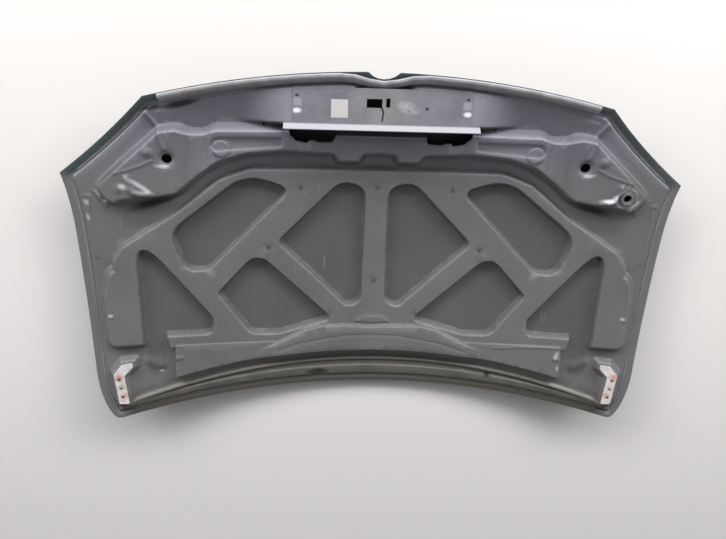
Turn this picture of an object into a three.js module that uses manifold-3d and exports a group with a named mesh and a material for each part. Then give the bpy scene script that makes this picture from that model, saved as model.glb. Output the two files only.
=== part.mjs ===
// Car bonnet seen from its inner side: an outer skin hemmed over a pressed inner frame,
// lying on its outer face like a shallow dish, inner side up.
// Millimetres. X runs across the car, Y towards the front edge, Z up out of the dish.
// In the plan below, a place is (x, v): v is measured forward from the rear corners.

import * as THREE from 'three';
import { mergeVertices } from 'three/addons/utils/BufferGeometryUtils.js';
import Module from 'manifold-3d';

// Outline of the panel, right half (the left half mirrors it)
const wingHalfWidth = 716;
const wingCornerFromRear = 645;
const frontCornerHalfWidth = 515;
const frontCornerFromRear = 818;
const frontCrownFromRear = 881.5;
const headlightEdgeHollow = 4;
const sideHalfWidthFront = 701;
const sideHalfWidthRear = 694;
const sideStraightFront = 500;
const sideStraightRear = 135;
const rearCornerSetIn = 39;
const rearCornerHalfWidth = sideHalfWidthRear - rearCornerSetIn;
const rearCornerRound = 46;
const rearTipRound = 14;
const rearArchRise = 78;
const notchHalfWidth = 35;
const notchDepth = 15;

// Crown of the outer skin
const crownRadiusAcross = 3600;
const crownRadiusAlong = 3500;
const crownLowestFromRear = 455;
const noseRadius = 500;
const noseStartFromRear = 620;

// Sheet and hem
const skinThickness = 0.8;
const frameThickness = 0.7;
const seatGap = 0.35;
const hemLip = 16;
const hemRoll = 1.5;
const flangeEdgeInset = 2.6;
const flangeWidth = 20;
const flangeStepRun = 7;

// Heights of the inner frame over the outer face of the skin
const shelfHeight = 6;
const webHeight = 26;
const beamHeight = 42;
const cornerPadHeight = 40;
const cornerPadFall = 30;
const padFootHeight = 9;
const rearPanelHeight = 29;
const rearArchHeight = 36;
const hingePadHeight = 22;

// Width in plan of the drawn walls between the levels
const pocketWallRun = 13;
const webWallRun = 13;
const beamWallRun = 18;
const padWallRun = 14;
const padFootRun = 30;
const rearWallRun = 10;
const padStepRun = 12;
const smallStepRun = 6;

// Latch reinforcement
const latchPlateThickness = 1.5;
const latchPlateHalfWidth = 196;
const latchPlateFront = 847;
const latchPlateRear = 771;
const latchPlateFrontRise = 90;
const latchPlateRearRise = 95;
const ledgeHalfWidth = 217;
const ledgeRun = 11;
const ledgeRise = 16;
const latchSeatMargin = 5;
const ledgeClearance = 3;
const latchRampFoot = 330;
const latchRampRun = 14;
const latchSlotWidth = 34;
const latchSlotLength = 19;
const latchSlotCentre = [-19, 815.5];
const sideSlotWidth = 9;
const sideSlotCentre = [11, 817];

// Front seal
const sealWidth = 18;
const sealHeight = 9;
const sealInset = 11;
const sealHalfLength = 482;
const sealStepMargin = 2;
const sealDipHalfLength = 90;

// Holes
const padHoleRadius = 11;
const padHoleCentre = [478, 682];
const padDimpleRadius = 20;
const padDimpleDepth = 4;
const clipHoleRadius = 5.5;
const clipHoleCentres = [[182, 608], [-182, 608], [261, 457], [-261, 457], [0, 611], [0, 369]];
const smallHoleRadius = 3.5;
const smallHoleCentres = [[263, 762], [-263, 762]];
const beamWindowInner = 97;
const beamWindowSetIn = 11;
const beamWindowFoot = 722;

// Prop rod socket, on one side only
const propSocketCentre = [589, 612];
const propBossRadius = 25;
const propBossRise = 3;
const propHoleRadius = 12;
const propSocketBore = 9;
const propSocketFlange = 16;
const propSocketLip = 2.5;
const propSocketDepth = 9;

// Hinge plates
const hingePlateThickness = 2.5;
const hingePadMargin = 2;
const hingePlateSetIn = 59.5;
const hingePlateFromRear = 96;
const hingeBoltRadius = 4.5;
const hingeBoltOffsets = [[3, 24], [-2.5, -24]];
const hingeLocatorRadius = 3;
const weldNutRadius = 8;
const weldNutThickness = 6;

// Mastic and label
const masticHalfLength = 22;
const masticHalfWidth = 8;
const labelSize = [37, 39];
const labelCentre = [-95, 803];
const labelThickness = 0.4;
const sealerWidth = 3.4;
const sealerHeight = 1.1;

// Mesh pitch
const edgePitch = 32;
const wallPitch = 30;
const skinPitch = 75;
const nosePitch = 50;
const framePitch = 80;

const wasm = await Module();
wasm.setup();

// Crown of the skin

function skinRise(x, v) {
  const nose = Math.max(0, v - noseStartFromRear);
  return x * x / (2 * crownRadiusAcross)
    + (v - crownLowestFromRear) ** 2 / (2 * crownRadiusAlong)
    + nose * nose / (2 * noseRadius);
}

function skinSlope(x, v) {
  const nose = Math.max(0, v - noseStartFromRear);
  return [x / crownRadiusAcross, (v - crownLowestFromRear) / crownRadiusAlong + nose / noseRadius];
}

// A height counted square to the skin, as a rise in Z
function liftedRise(x, v, height) {
  const [sx, sv] = skinSlope(x, v);
  return skinRise(x, v) + height * Math.hypot(1, sx, sv);
}

function pointOnSkin(x, v, height) {
  return new THREE.Vector3(x, v, liftedRise(x, v, height));
}

// Plan curves

function frontEdge(x) {
  const sag = (frontCrownFromRear - frontCornerFromRear) / frontCornerHalfWidth ** 2;
  return frontCrownFromRear - sag * x * x;
}

function rearEdge(x) {
  return rearArchRise * (1 - (x / rearCornerHalfWidth) ** 2);
}

// A line that runs along the rear edge and closes in on it towards the corners
function rearLine(x, offset, narrowing) {
  return rearEdge(x) + offset - narrowing * (x / rearCornerHalfWidth) ** 2;
}

function cut(count, make) {
  return Array.from({ length: count }, (_, i) => make(i / count));
}

// Where the rear edge ends at the rounded tip of the rear corner
const rearRunStart = rearCornerHalfWidth - rearTipRound;

// Right half of the outline, from the notch centre round to the rear centre
function halfOutline() {
  const points = [];
  const notchSteps = 3;
  const notchRadius = (notchHalfWidth ** 2 + notchDepth ** 2) / (2 * notchDepth);
  const notchTop = frontEdge(notchHalfWidth);
  const notchCentre = notchTop - notchDepth + notchRadius;
  points.push(...cut(notchSteps, (t) => {
    const x = t * notchHalfWidth;
    return new THREE.Vector2(x, notchCentre - Math.sqrt(notchRadius ** 2 - x * x));
  }));
  const frontRun = frontCornerHalfWidth - notchHalfWidth;
  points.push(...cut(Math.round(frontRun / edgePitch), (t) => {
    const x = notchHalfWidth + t * frontRun;
    return new THREE.Vector2(x, frontEdge(x));
  }));
  const frontCorner = new THREE.Vector2(frontCornerHalfWidth, frontCornerFromRear);
  const wingCorner = new THREE.Vector2(wingHalfWidth, wingCornerFromRear);
  const inward = wingCorner.clone().sub(frontCorner).rotateAround(new THREE.Vector2(), -Math.PI / 2);
  const middle = frontCorner.clone().add(wingCorner).multiplyScalar(0.5);
  middle.addScaledVector(inward.normalize(), 2 * headlightEdgeHollow);
  const headlight = new THREE.QuadraticBezierCurve(frontCorner, middle, wingCorner);
  points.push(...curveCut(headlight, edgePitch));
  const sideFront = new THREE.Vector2(sideHalfWidthFront, sideStraightFront);
  const sideRear = new THREE.Vector2(sideHalfWidthRear, sideStraightRear);
  const rearCorner = new THREE.Vector2(rearCornerHalfWidth, 0);
  const flare = new THREE.QuadraticBezierCurve(
    wingCorner,
    new THREE.Vector2(sideHalfWidthFront + 2, (wingCornerFromRear + sideStraightFront) / 2 + 12),
    sideFront,
  );
  points.push(...curveCut(flare, edgePitch));
  points.push(...curveCut(new THREE.LineCurve(sideFront, sideRear), edgePitch));
  const tail = new THREE.QuadraticBezierCurve(
    sideRear,
    new THREE.Vector2(sideHalfWidthRear - 4, rearCornerRound),
    rearCorner,
  );
  const tailShare = 1 - rearTipRound / tail.getLength();
  const tailCount = Math.max(2, Math.round(tail.getLength() / (edgePitch * 0.75)));
  points.push(...cut(tailCount, (t) => tail.getPointAt(t * tailShare)));
  const rearStart = new THREE.Vector2(rearRunStart, rearEdge(rearRunStart));
  const tip = new THREE.QuadraticBezierCurve(tail.getPointAt(tailShare), rearCorner, rearStart);
  points.push(...cut(2, (t) => tip.getPoint(t)));
  points.push(...cut(Math.round(rearRunStart / edgePitch), (t) => {
    const x = rearRunStart * (1 - t);
    return new THREE.Vector2(x, rearEdge(x));
  }));
  points.push(new THREE.Vector2(0, rearArchRise));
  return points;
}

function curveCut(curve, pitch) {
  const count = Math.max(2, Math.round(curve.getLength() / pitch));
  return curve.getSpacedPoints(count).slice(0, count);
}

// Moves each point of a line square to it, to its right as it is walked
function offsetLine(points, distance, closed) {
  return points.map((point, i) => {
    const last = points.length - 1;
    const before = points[closed ? (i + last) % points.length : Math.max(0, i - 1)];
    const after = points[closed ? (i + 1) % points.length : Math.min(last, i + 1)];
    const a = point.clone().sub(before).normalize();
    const b = after.clone().sub(point).normalize();
    const normalA = new THREE.Vector2(a.y, -a.x);
    const normalB = new THREE.Vector2(b.y, -b.x);
    const mitre = normalA.add(normalB).normalize();
    const reach = Math.max(0.5, Math.abs(mitre.dot(b.lengthSq() > 0 ? normalB : normalA)));
    return point.clone().addScaledVector(mitre, distance / reach);
  });
}

function mirrored(points) {
  return points.map((p) => new THREE.Vector2(-p.x, p.y)).reverse();
}

const rightOutline = halfOutline();
const fullOutline = [...rightOutline, ...mirrored(rightOutline).slice(1, -1)];

// The outline moved inwards; both sheets and the hem share these places
function insetOutline(distance) {
  return offsetLine(fullOutline, distance, true);
}

function distanceToLine(x, v, points, closed) {
  let best = Infinity;
  const count = closed ? points.length : points.length - 1;
  for (let i = 0; i < count; i += 1) {
    const a = points[i];
    const b = points[(i + 1) % points.length];
    const dx = b.x - a.x;
    const dv = b.y - a.y;
    const along = ((x - a.x) * dx + (v - a.y) * dv) / (dx * dx + dv * dv);
    const t = Math.min(1, Math.max(0, along));
    best = Math.min(best, Math.hypot(x - a.x - t * dx, v - a.y - t * dv));
  }
  return best;
}

function isInside(x, v, points) {
  let inside = false;
  for (let i = 0, j = points.length - 1; i < points.length; j = i, i += 1) {
    const a = points[i];
    const b = points[j];
    if ((a.y > v) !== (b.y > v) && x < (b.x - a.x) * (v - a.y) / (b.y - a.y) + a.x) {
      inside = !inside;
    }
  }
  return inside;
}

// Features of the inner frame

// A closed loop through corners [x, v, radius], with its wall centred on the loop
function roundedLoop(corners) {
  const path = new THREE.Path();
  corners.forEach(([x, v, radius], i) => {
    const corner = new THREE.Vector2(x, v);
    const before = new THREE.Vector2(...corners[(i + corners.length - 1) % corners.length].slice(0, 2));
    const after = new THREE.Vector2(...corners[(i + 1) % corners.length].slice(0, 2));
    const toBefore = before.sub(corner);
    const toAfter = after.sub(corner);
    const half = Math.acos(toBefore.clone().normalize().dot(toAfter.clone().normalize())) / 2;
    const reach = Math.min(radius / Math.tan(half), toBefore.length() * 0.48, toAfter.length() * 0.48);
    const start = corner.clone().addScaledVector(toBefore.normalize(), reach);
    const end = corner.clone().addScaledVector(toAfter.normalize(), reach);
    if (i === 0) {
      path.moveTo(start.x, start.y);
    } else {
      path.lineTo(start.x, start.y);
    }
    path.quadraticCurveTo(corner.x, corner.y, end.x, end.y);
  });
  path.closePath();
  return path;
}

function feature(corners, run) {
  const path = roundedLoop(corners);
  const fine = path.getPoints(6);
  fine.pop();
  const count = Math.max(8, Math.round(path.getLength() / wallPitch));
  const coarse = path.getSpacedPoints(count).slice(0, count);
  return { fine, coarse, run, clockwise: THREE.ShapeUtils.area(coarse) < 0 };
}

function circleFeature([x, v], radius, run) {
  const count = Math.max(12, Math.round(2 * Math.PI * radius / wallPitch));
  const coarse = cut(count, (t) => new THREE.Vector2(
    x + radius * Math.cos(2 * Math.PI * t),
    v + radius * Math.sin(2 * Math.PI * t),
  ));
  return { fine: coarse, coarse, run, clockwise: false };
}

// 1 inside the feature, 0 outside, with a smooth wall between
function share({ fine, run }, x, v) {
  const distance = distanceToLine(x, v, fine, true);
  const signed = isInside(x, v, fine) ? distance : -distance;
  return smooth(0.5 + signed / run);
}

function smooth(t) {
  return THREE.MathUtils.smoothstep(t, 0, 1);
}

const rearWall = (x) => rearLine(x, 101, 36);
const beadFront = (x) => rearLine(x, 79, 32);
const beadRear = (x) => rearLine(x, 60, 36);
const rearCrest = (x) => rearLine(x, 49, 15);

// The X-shaped web: everything inside this loop stands at web height
const web = feature([
  [-300, 656, 60], [300, 656, 60], [372, 630, 60], [470, 553, 40], [600, 470, 40], [630, 430, 30],
  [622, 395, 20], [560, 395, 5], [511, 194, 10], [-511, 194, 10], [-560, 395, 5], [-622, 395, 20],
  [-630, 430, 30], [-600, 470, 40], [-470, 553, 40], [-372, 630, 60],
], webWallRun);

const pocketCorners = [
  [[207, 606, 20], [310, 640, 75], [495, 497, 45], [458, 402, 30], [406, 404, 35]],
  [[28, 610, 22], [86, 626, 24], [238, 473, 16], [64, 299, 20], [32, 316, 18]],
  [[290, 444, 42], [387, 339, 12], [309, 228, 18], [238, 228, 30], [150, 254, 30], [104, 264, 12]],
  [[571, 498, 31], [404, 275, 16], [404, 232, 22], [522, 232, 12], [530, 120, 12], [571, 120, 12]],
];
const pockets = pocketCorners.map((corners) => feature(corners, pocketWallRun));

// Front beam and corner pad in one pressing
const beam = feature([
  [0, 756, 5], [366, 754, 20], [398, 743, 20], [425, 744, 20], [453, 753, 20], [490, 748, 20],
  [650, 612, 22], [624, 580, 20], [560, 550, 25], [512, 562, 40], [464, 594, 60], [418, 632, 60],
  [362, 672, 60], [303, 689, 60], [213, 697, 40], [106, 692, 10], [94, 673, 10], [46, 673, 10],
  [36, 692, 10], [0, 694, 10], [-36, 692, 10], [-46, 673, 10], [-94, 673, 10], [-106, 692, 10],
  [-213, 697, 40], [-303, 689, 60], [-362, 672, 60], [-418, 632, 60], [-464, 594, 60], [-512, 562, 40],
  [-560, 550, 25], [-624, 580, 20], [-650, 612, 22], [-490, 748, 20], [-453, 753, 20], [-425, 744, 20],
  [-398, 743, 20], [-366, 754, 20],
], beamWallRun);
const beamRecess = feature([
  [222, 732, 6], [374, 732, 24], [382, 712, 20], [372, 700, 14], [222, 712, 6],
], smallStepRun);
const beamDisc = circleFeature([358, 706], 19, 4);
const padStep = feature([[384, 770, 5], [434, 770, 5], [446, 600, 5], [384, 640, 5]], padStepRun);
const padFoot = feature([
  [456, 590, 20], [500, 582, 30], [545, 582, 30], [600, 574, 20], [604, 530, 20], [500, 520, 20],
  [446, 570, 20],
], padFootRun);
const padDimple = circleFeature(padHoleCentre, padDimpleRadius - 4, 8);

// Side and rear pressings
const overCentre = -60;
const sidePad = feature([
  [540, 420, 5], [640, 418, 45], [657, 340, 40], [655, 204, 14], [540, 204, 5],
], padWallRun);
const rearPanelHalfWidth = 502;
const rearPanel = feature([
  [rearPanelHalfWidth - 3, 208, 6], [overCentre, 208, 5], [overCentre, 50, 5],
  [rearPanelHalfWidth + 3, 50, 5],
], 8);
const rearArch = feature([
  [overCentre, 251, 5], [128, 253, 50], [170, 243, 40], [250, 203, 50], [420, 142, 12], [436, 50, 5],
  [overCentre, 50, 5],
], 12);
const centreEmboss = feature([[overCentre, 278, 5], [26, 274, 10], [50, 258, 8], [overCentre, 248, 5]], 8);
const propBoss = circleFeature(propSocketCentre, propBossRadius, 5);

// Flat pads: a plane that leans with the skin under its middle
function leaningPlane([x0, v0], height) {
  const [sx, sv] = skinSlope(x0, v0);
  const rise = liftedRise(x0, v0, height);
  return (x, v) => rise + sx * (x - x0) + sv * (v - v0);
}

const hingePlateMiddle = [sideHalfWidthRear - hingePlateSetIn, hingePlateFromRear];
const fromHinge = ([dx, dv, ...rest]) => [hingePlateMiddle[0] + dx, hingePlateMiddle[1] + dv, ...rest];
const hingeBoltPlaces = hingeBoltOffsets.map(fromHinge);
const hingePlateCorners = [
  [6.5, -42, 3], [-17.5, -44, 3], [-10.5, 34, 4], [-32.5, 56, 3], [-32.5, 67, 3], [-6.5, 65, 5],
  [14.5, 41, 4],
].map(fromHinge);
const hingePlane = leaningPlane(hingePlateMiddle, hingePadHeight);
const hingePadRing = offsetLine(
  hingePlateCorners.map(([x, v]) => new THREE.Vector2(x, v)),
  -(hingePadMargin + padWallRun / 2),
  true,
);
const hingePad = feature(hingePadRing.map((p) => [p.x, p.y, 8]), padWallRun);
const propPlane = leaningPlane(propSocketCentre, cornerPadHeight - 8);

// The latch platform is level from side to side
function latchPlane(v) {
  const slope = (latchPlateRearRise - latchPlateFrontRise) / (latchPlateFront - latchPlateRear);
  return latchPlateFrontRise + slope * (latchPlateFront - v);
}

const latchSeatHalfWidth = latchPlateHalfWidth + latchSeatMargin;
const latchSeat = feature([
  [-latchSeatHalfWidth - 8, latchPlateFront + 8, 14], [latchSeatHalfWidth + 8, latchPlateFront + 8, 14],
  [latchSeatHalfWidth + 8, 740, 14], [-latchSeatHalfWidth - 8, 740, 14],
], 16);

// Beside the latch plate the platform runs down to the shelf as a ramp
const ledgeRear = latchPlateRear - ledgeRun - ledgeClearance;

function latchShare(x, v) {
  const across = smooth((latchRampFoot - Math.abs(x)) / (latchRampFoot - latchSeatHalfWidth));
  const along = smooth((v - ledgeRear) / latchRampRun);
  return Math.max(share(latchSeat, x, v), across * along);
}

// Front seal line

function sealLine(x) {
  const dip = Math.abs(x) < sealDipHalfLength
    ? (notchDepth + sealStepMargin) * 0.5 * (1 + Math.cos(Math.PI * x / sealDipHalfLength))
    : 0;
  return frontEdge(x) - sealInset - dip;
}

function sealInnerEdge(x) {
  return sealLine(x) - sealWidth / 2 - sealStepMargin;
}

// How far inside the foot of the flange step a place lies
function insideFlange(x, v) {
  const fromEdge = distanceToLine(x, v, fullOutline, true) - flangeWidth;
  return Math.min(fromEdge, sealInnerEdge(x) - v);
}

// Foot of the step where the flange widens to clear the seal
function wideFlangePlaces(ring) {
  const atFront = (q) => q.x < sealHalfLength && q.y > frontCornerFromRear - flangeWidth;
  return ring
    .filter((q) => atFront(q) && q.y > sealInnerEdge(q.x) + 5)
    .map((q) => new THREE.Vector2(q.x, sealInnerEdge(q.x)));
}

// Height of the inner frame

const flangeHeight = skinThickness + seatGap + frameThickness;

function frameRise(x, v) {
  const side = Math.abs(x);
  const raise = (height, part, top) => Math.max(height, shelfHeight + (top - shelfHeight) * part);
  let height = shelfHeight;
  const padTop = cornerPadHeight - cornerPadFall * smooth((side - 560) / 110);
  const beamTop = side < 380 ? beamHeight : padTop;
  height = raise(height, share(beam, x, v), beamTop);
  height += (padFootHeight - height) * share(padFoot, side, v) * (side > 380 ? 1 : 0);
  height = raise(height, share(web, x, v), webHeight);
  height = raise(height, share(sidePad, side, v), webHeight);
  for (const pocket of pockets) {
    height += (shelfHeight - height) * share(pocket, side, v);
  }
  height -= 3 * share(beamRecess, side, v) - 2.5 * share(beamDisc, side, v);
  height -= 4 * share(padStep, side, v);
  height -= padDimpleDepth * share(padDimple, side, v);
  const rearShare = smooth(0.5 + (v - rearWall(x)) / rearWallRun);
  height = raise(height, share(rearPanel, side, v) * rearShare, rearPanelHeight);
  height = raise(height, share(rearArch, side, v) * rearShare, rearArchHeight);
  height += 2.5 * share(centreEmboss, side, v);
  const bead = Math.abs(v - (beadFront(x) + beadRear(x)) / 2) / ((beadFront(x) - beadRear(x)) / 2);
  if (side < 628 && bead < 1) {
    height += 8 * (1 - smooth(bead)) * smooth((628 - side) / 20);
  }
  height += 5 * smooth((rearCrest(x) - v + 3) / 7);
  let rise = liftedRise(x, v, height);
  rise += (hingePlane(side, v) - rise) * share(hingePad, side, v);
  if (x > 0) {
    const boss = share(propBoss, x, v);
    rise += (propPlane(x, v) + propBossRise - rise) * boss;
  }
  const seat = latchPlane(v) - latchPlateThickness / 2 - seatGap;
  rise += (seat - rise) * latchShare(x, v);
  const flange = liftedRise(x, v, flangeHeight);
  return flange + (rise - flange) * smooth(insideFlange(x, v) / flangeStepRun);
}

// Triangulation of a sheet

// Delaunay triangulation: each new point rebuilds the triangles whose circle holds it
function delaunay(points) {
  const nudge = (i, k) => 1e-3 * Math.sin(12.9898 * (i + 1) * k);
  const p = points.map((q, i) => [q.x === 0 ? 0 : q.x + nudge(i, 1), q.y + nudge(i, 2)]);
  const far = 1e5;
  p.push([-far, -far], [far, -far], [0, 2 * far]);
  const circle = (a, b, c) => {
    const [ax, ay] = p[a];
    const bx = p[b][0] - ax;
    const by = p[b][1] - ay;
    const cx = p[c][0] - ax;
    const cy = p[c][1] - ay;
    const d = 2 * (bx * cy - by * cx);
    const ux = (cy * (bx * bx + by * by) - by * (cx * cx + cy * cy)) / d;
    const uy = (bx * (cx * cx + cy * cy) - cx * (bx * bx + by * by)) / d;
    return { a, b, c, x: ax + ux, y: ay + uy, r2: ux * ux + uy * uy };
  };
  const n = points.length;
  let triangles = [circle(n, n + 1, n + 2)];
  for (let i = 0; i < n; i += 1) {
    const [px, py] = p[i];
    const edges = new Map();
    const kept = [];
    for (const t of triangles) {
      if ((px - t.x) ** 2 + (py - t.y) ** 2 < t.r2) {
        for (const [e, f] of [[t.a, t.b], [t.b, t.c], [t.c, t.a]]) {
          const twin = `${f},${e}`;
          if (edges.has(twin)) {
            edges.delete(twin);
          } else {
            edges.set(`${e},${f}`, [e, f]);
          }
        }
      } else {
        kept.push(t);
      }
    }
    for (const [e, f] of edges.values()) {
      kept.push(circle(e, f, i));
    }
    triangles = kept;
  }
  return triangles.filter((t) => t.a < n && t.b < n && t.c < n).map((t) => [t.a, t.b, t.c]);
}

// Collects plan points of the right half, and leaves out one too close to another
function planPoints() {
  const points = [];
  const add = (x, v, apart, extra = {}) => {
    const px = x < 0.6 * apart ? 0 : x;
    if (x < -0.6 * apart) {
      return;
    }
    if (points.some((q) => Math.hypot(q.x - px, q.y - v) < apart)) {
      return;
    }
    points.push({ x: px, y: v, ...extra });
  };
  return { points, add };
}

// Points of a right half mirrored into a whole sheet: vertices and triangles in plan
function wholeSheet(points, outline) {
  const triangles = delaunay(points).filter((t) => {
    const x = (points[t[0]].x + points[t[1]].x + points[t[2]].x) / 3;
    const v = (points[t[0]].y + points[t[1]].y + points[t[2]].y) / 3;
    return isInside(x, v, outline);
  });
  const vertices = points.slice();
  const twin = points.map((q, i) => {
    if (q.x === 0) {
      return i;
    }
    vertices.push({ ...q, x: -q.x });
    return vertices.length - 1;
  });
  const all = [...triangles, ...triangles.map(([a, b, c]) => [twin[a], twin[c], twin[b]])];
  return { vertices, triangles: all };
}

// Edges that belong to one triangle only, in the direction the triangle walks them
function rimEdges(triangles) {
  const seen = new Map();
  for (const [a, b, c] of triangles) {
    for (const [e, f] of [[a, b], [b, c], [c, a]]) {
      if (seen.has(`${f},${e}`)) {
        seen.delete(`${f},${e}`);
      } else {
        seen.set(`${e},${f}`, [e, f]);
      }
    }
  }
  return [...seen.values()];
}

function vertexNormals(vertices, triangles) {
  const normals = vertices.map(() => new THREE.Vector3());
  for (const [a, b, c] of triangles) {
    const u = vertices[b].clone().sub(vertices[a]);
    const w = vertices[c].clone().sub(vertices[a]);
    const face = u.cross(w);
    normals[a].add(face);
    normals[b].add(face);
    normals[c].add(face);
  }
  return normals.map((normal) => normal.normalize());
}

function geometryOf(vertices, triangles) {
  const geometry = new THREE.BufferGeometry();
  const flat = vertices.flatMap((p) => [p.x, p.y, p.z]);
  geometry.setAttribute('position', new THREE.Float32BufferAttribute(flat, 3));
  geometry.setIndex(triangles.flat());
  return geometry;
}

// Closes a sheet into a solid of one thickness, measured square to it
function thicken(vertices, triangles, thickness) {
  const normals = vertexNormals(vertices, triangles);
  const count = vertices.length;
  const lower = vertices.map((p, i) => p.clone().addScaledVector(normals[i], -thickness));
  const all = [...triangles];
  for (const [a, b, c] of triangles) {
    all.push([a + count, c + count, b + count]);
  }
  for (const [a, b] of rimEdges(triangles)) {
    all.push([a, a + count, b + count], [a, b + count, b]);
  }
  return geometryOf([...vertices, ...lower], all);
}

// Solids and cuts

function asSolid(geometry) {
  const bare = geometry.clone();
  bare.deleteAttribute('normal');
  bare.deleteAttribute('uv');
  const merged = mergeVertices(bare, 1e-4);
  return new wasm.Manifold(new wasm.Mesh({
    numProp: 3,
    vertProperties: new Float32Array(merged.attributes.position.array),
    triVerts: new Uint32Array(merged.index.array),
  }));
}

function asGeometry(solid) {
  const mesh = solid.getMesh();
  const geometry = new THREE.BufferGeometry();
  geometry.setAttribute('position', new THREE.Float32BufferAttribute(mesh.vertProperties, 3));
  geometry.setIndex(Array.from(mesh.triVerts));
  return geometry;
}

function cutAway(geometry, cutters) {
  let solid = asSolid(geometry);
  for (const cutter of cutters) {
    solid = solid.subtract(asSolid(cutter));
  }
  return asGeometry(solid);
}

function roundCutter([x, v], radius, segments = 12) {
  const geometry = new THREE.CylinderGeometry(radius, radius, 60, segments);
  geometry.rotateX(Math.PI / 2);
  geometry.translate(x, v, skinRise(x, v) + 2 + 30);
  return geometry;
}

function prism(corners, from, to) {
  const shape = new THREE.Shape(corners.map(([x, v]) => new THREE.Vector2(x, v)));
  const geometry = new THREE.ExtrudeGeometry(shape, { depth: to - from, bevelEnabled: false });
  geometry.translate(0, 0, from);
  return geometry;
}

// Outer skin

// Hem section, as places [inset, height] from the outer face round the fold to the inner face
const lipUnder = flangeHeight + seatGap;
const lipTop = lipUnder + skinThickness;
const hemSection = [
  [hemRoll, 0], [0, lipTop * 0.3], [0, lipTop * 0.7], [hemRoll, lipTop],
  [hemLip, lipTop], [hemLip, lipUnder], [hemRoll, lipUnder], [hemRoll, skinThickness],
];

function outerSkin() {
  const ring = insetOutline(flangeWidth);
  const half = rightOutline.length;
  const { points, add } = planPoints();
  ring.slice(0, half).forEach((q) => points.push({ x: Math.max(0, q.x), y: q.y }));
  points[0].x = 0;
  points[half - 1].x = 0;
  wideFlangePlaces(ring.slice(0, half)).forEach((q) => add(q.x, q.y, 4));
  const rows = [];
  for (let v = rearArchRise - 60; v < frontCrownFromRear;) {
    rows.push(v);
    v += v > noseStartFromRear - 30 ? nosePitch * 0.85 : skinPitch * 0.87;
  }
  rows.forEach((v, row) => {
    for (let x = row % 2 ? 0 : skinPitch / 2; x < wingHalfWidth; x += skinPitch) {
      if (isInside(x, v, ring) && distanceToLine(x, v, ring, true) > skinPitch * 0.4) {
        add(x, v, skinPitch * 0.5);
      }
    }
  });
  const sheet = wholeSheet(points, ring);
  const vertices = [];
  const triangles = [];
  const outer = sheet.vertices.map((q) => vertices.push(pointOnSkin(q.x, q.y, 0)) - 1);
  const inner = sheet.vertices.map((q) => vertices.push(pointOnSkin(q.x, q.y, skinThickness)) - 1);
  for (const [a, b, c] of sheet.triangles) {
    triangles.push([inner[a], inner[b], inner[c]], [outer[a], outer[c], outer[b]]);
  }
  const rim = ring.map((q, i) => {
    const x = i === 0 || i === half - 1 ? 0 : q.x;
    return sheet.vertices.findIndex((p) => Math.hypot(p.x - x, p.y - q.y) < 0.01);
  });
  const loops = hemSection.map(([inset, height]) => insetOutline(inset).map(
    (q) => vertices.push(pointOnSkin(q.x, q.y, height)) - 1,
  ));
  const strips = [rim.map((i) => outer[i]), ...loops, rim.map((i) => inner[i])];
  for (let s = 0; s + 1 < strips.length; s += 1) {
    for (let i = 0; i < fullOutline.length; i += 1) {
      const j = (i + 1) % fullOutline.length;
      triangles.push([strips[s][i], strips[s + 1][i], strips[s + 1][j]]);
      triangles.push([strips[s][i], strips[s + 1][j], strips[s][j]]);
    }
  }
  return geometryOf(vertices, triangles);
}

// Inner frame

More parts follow.
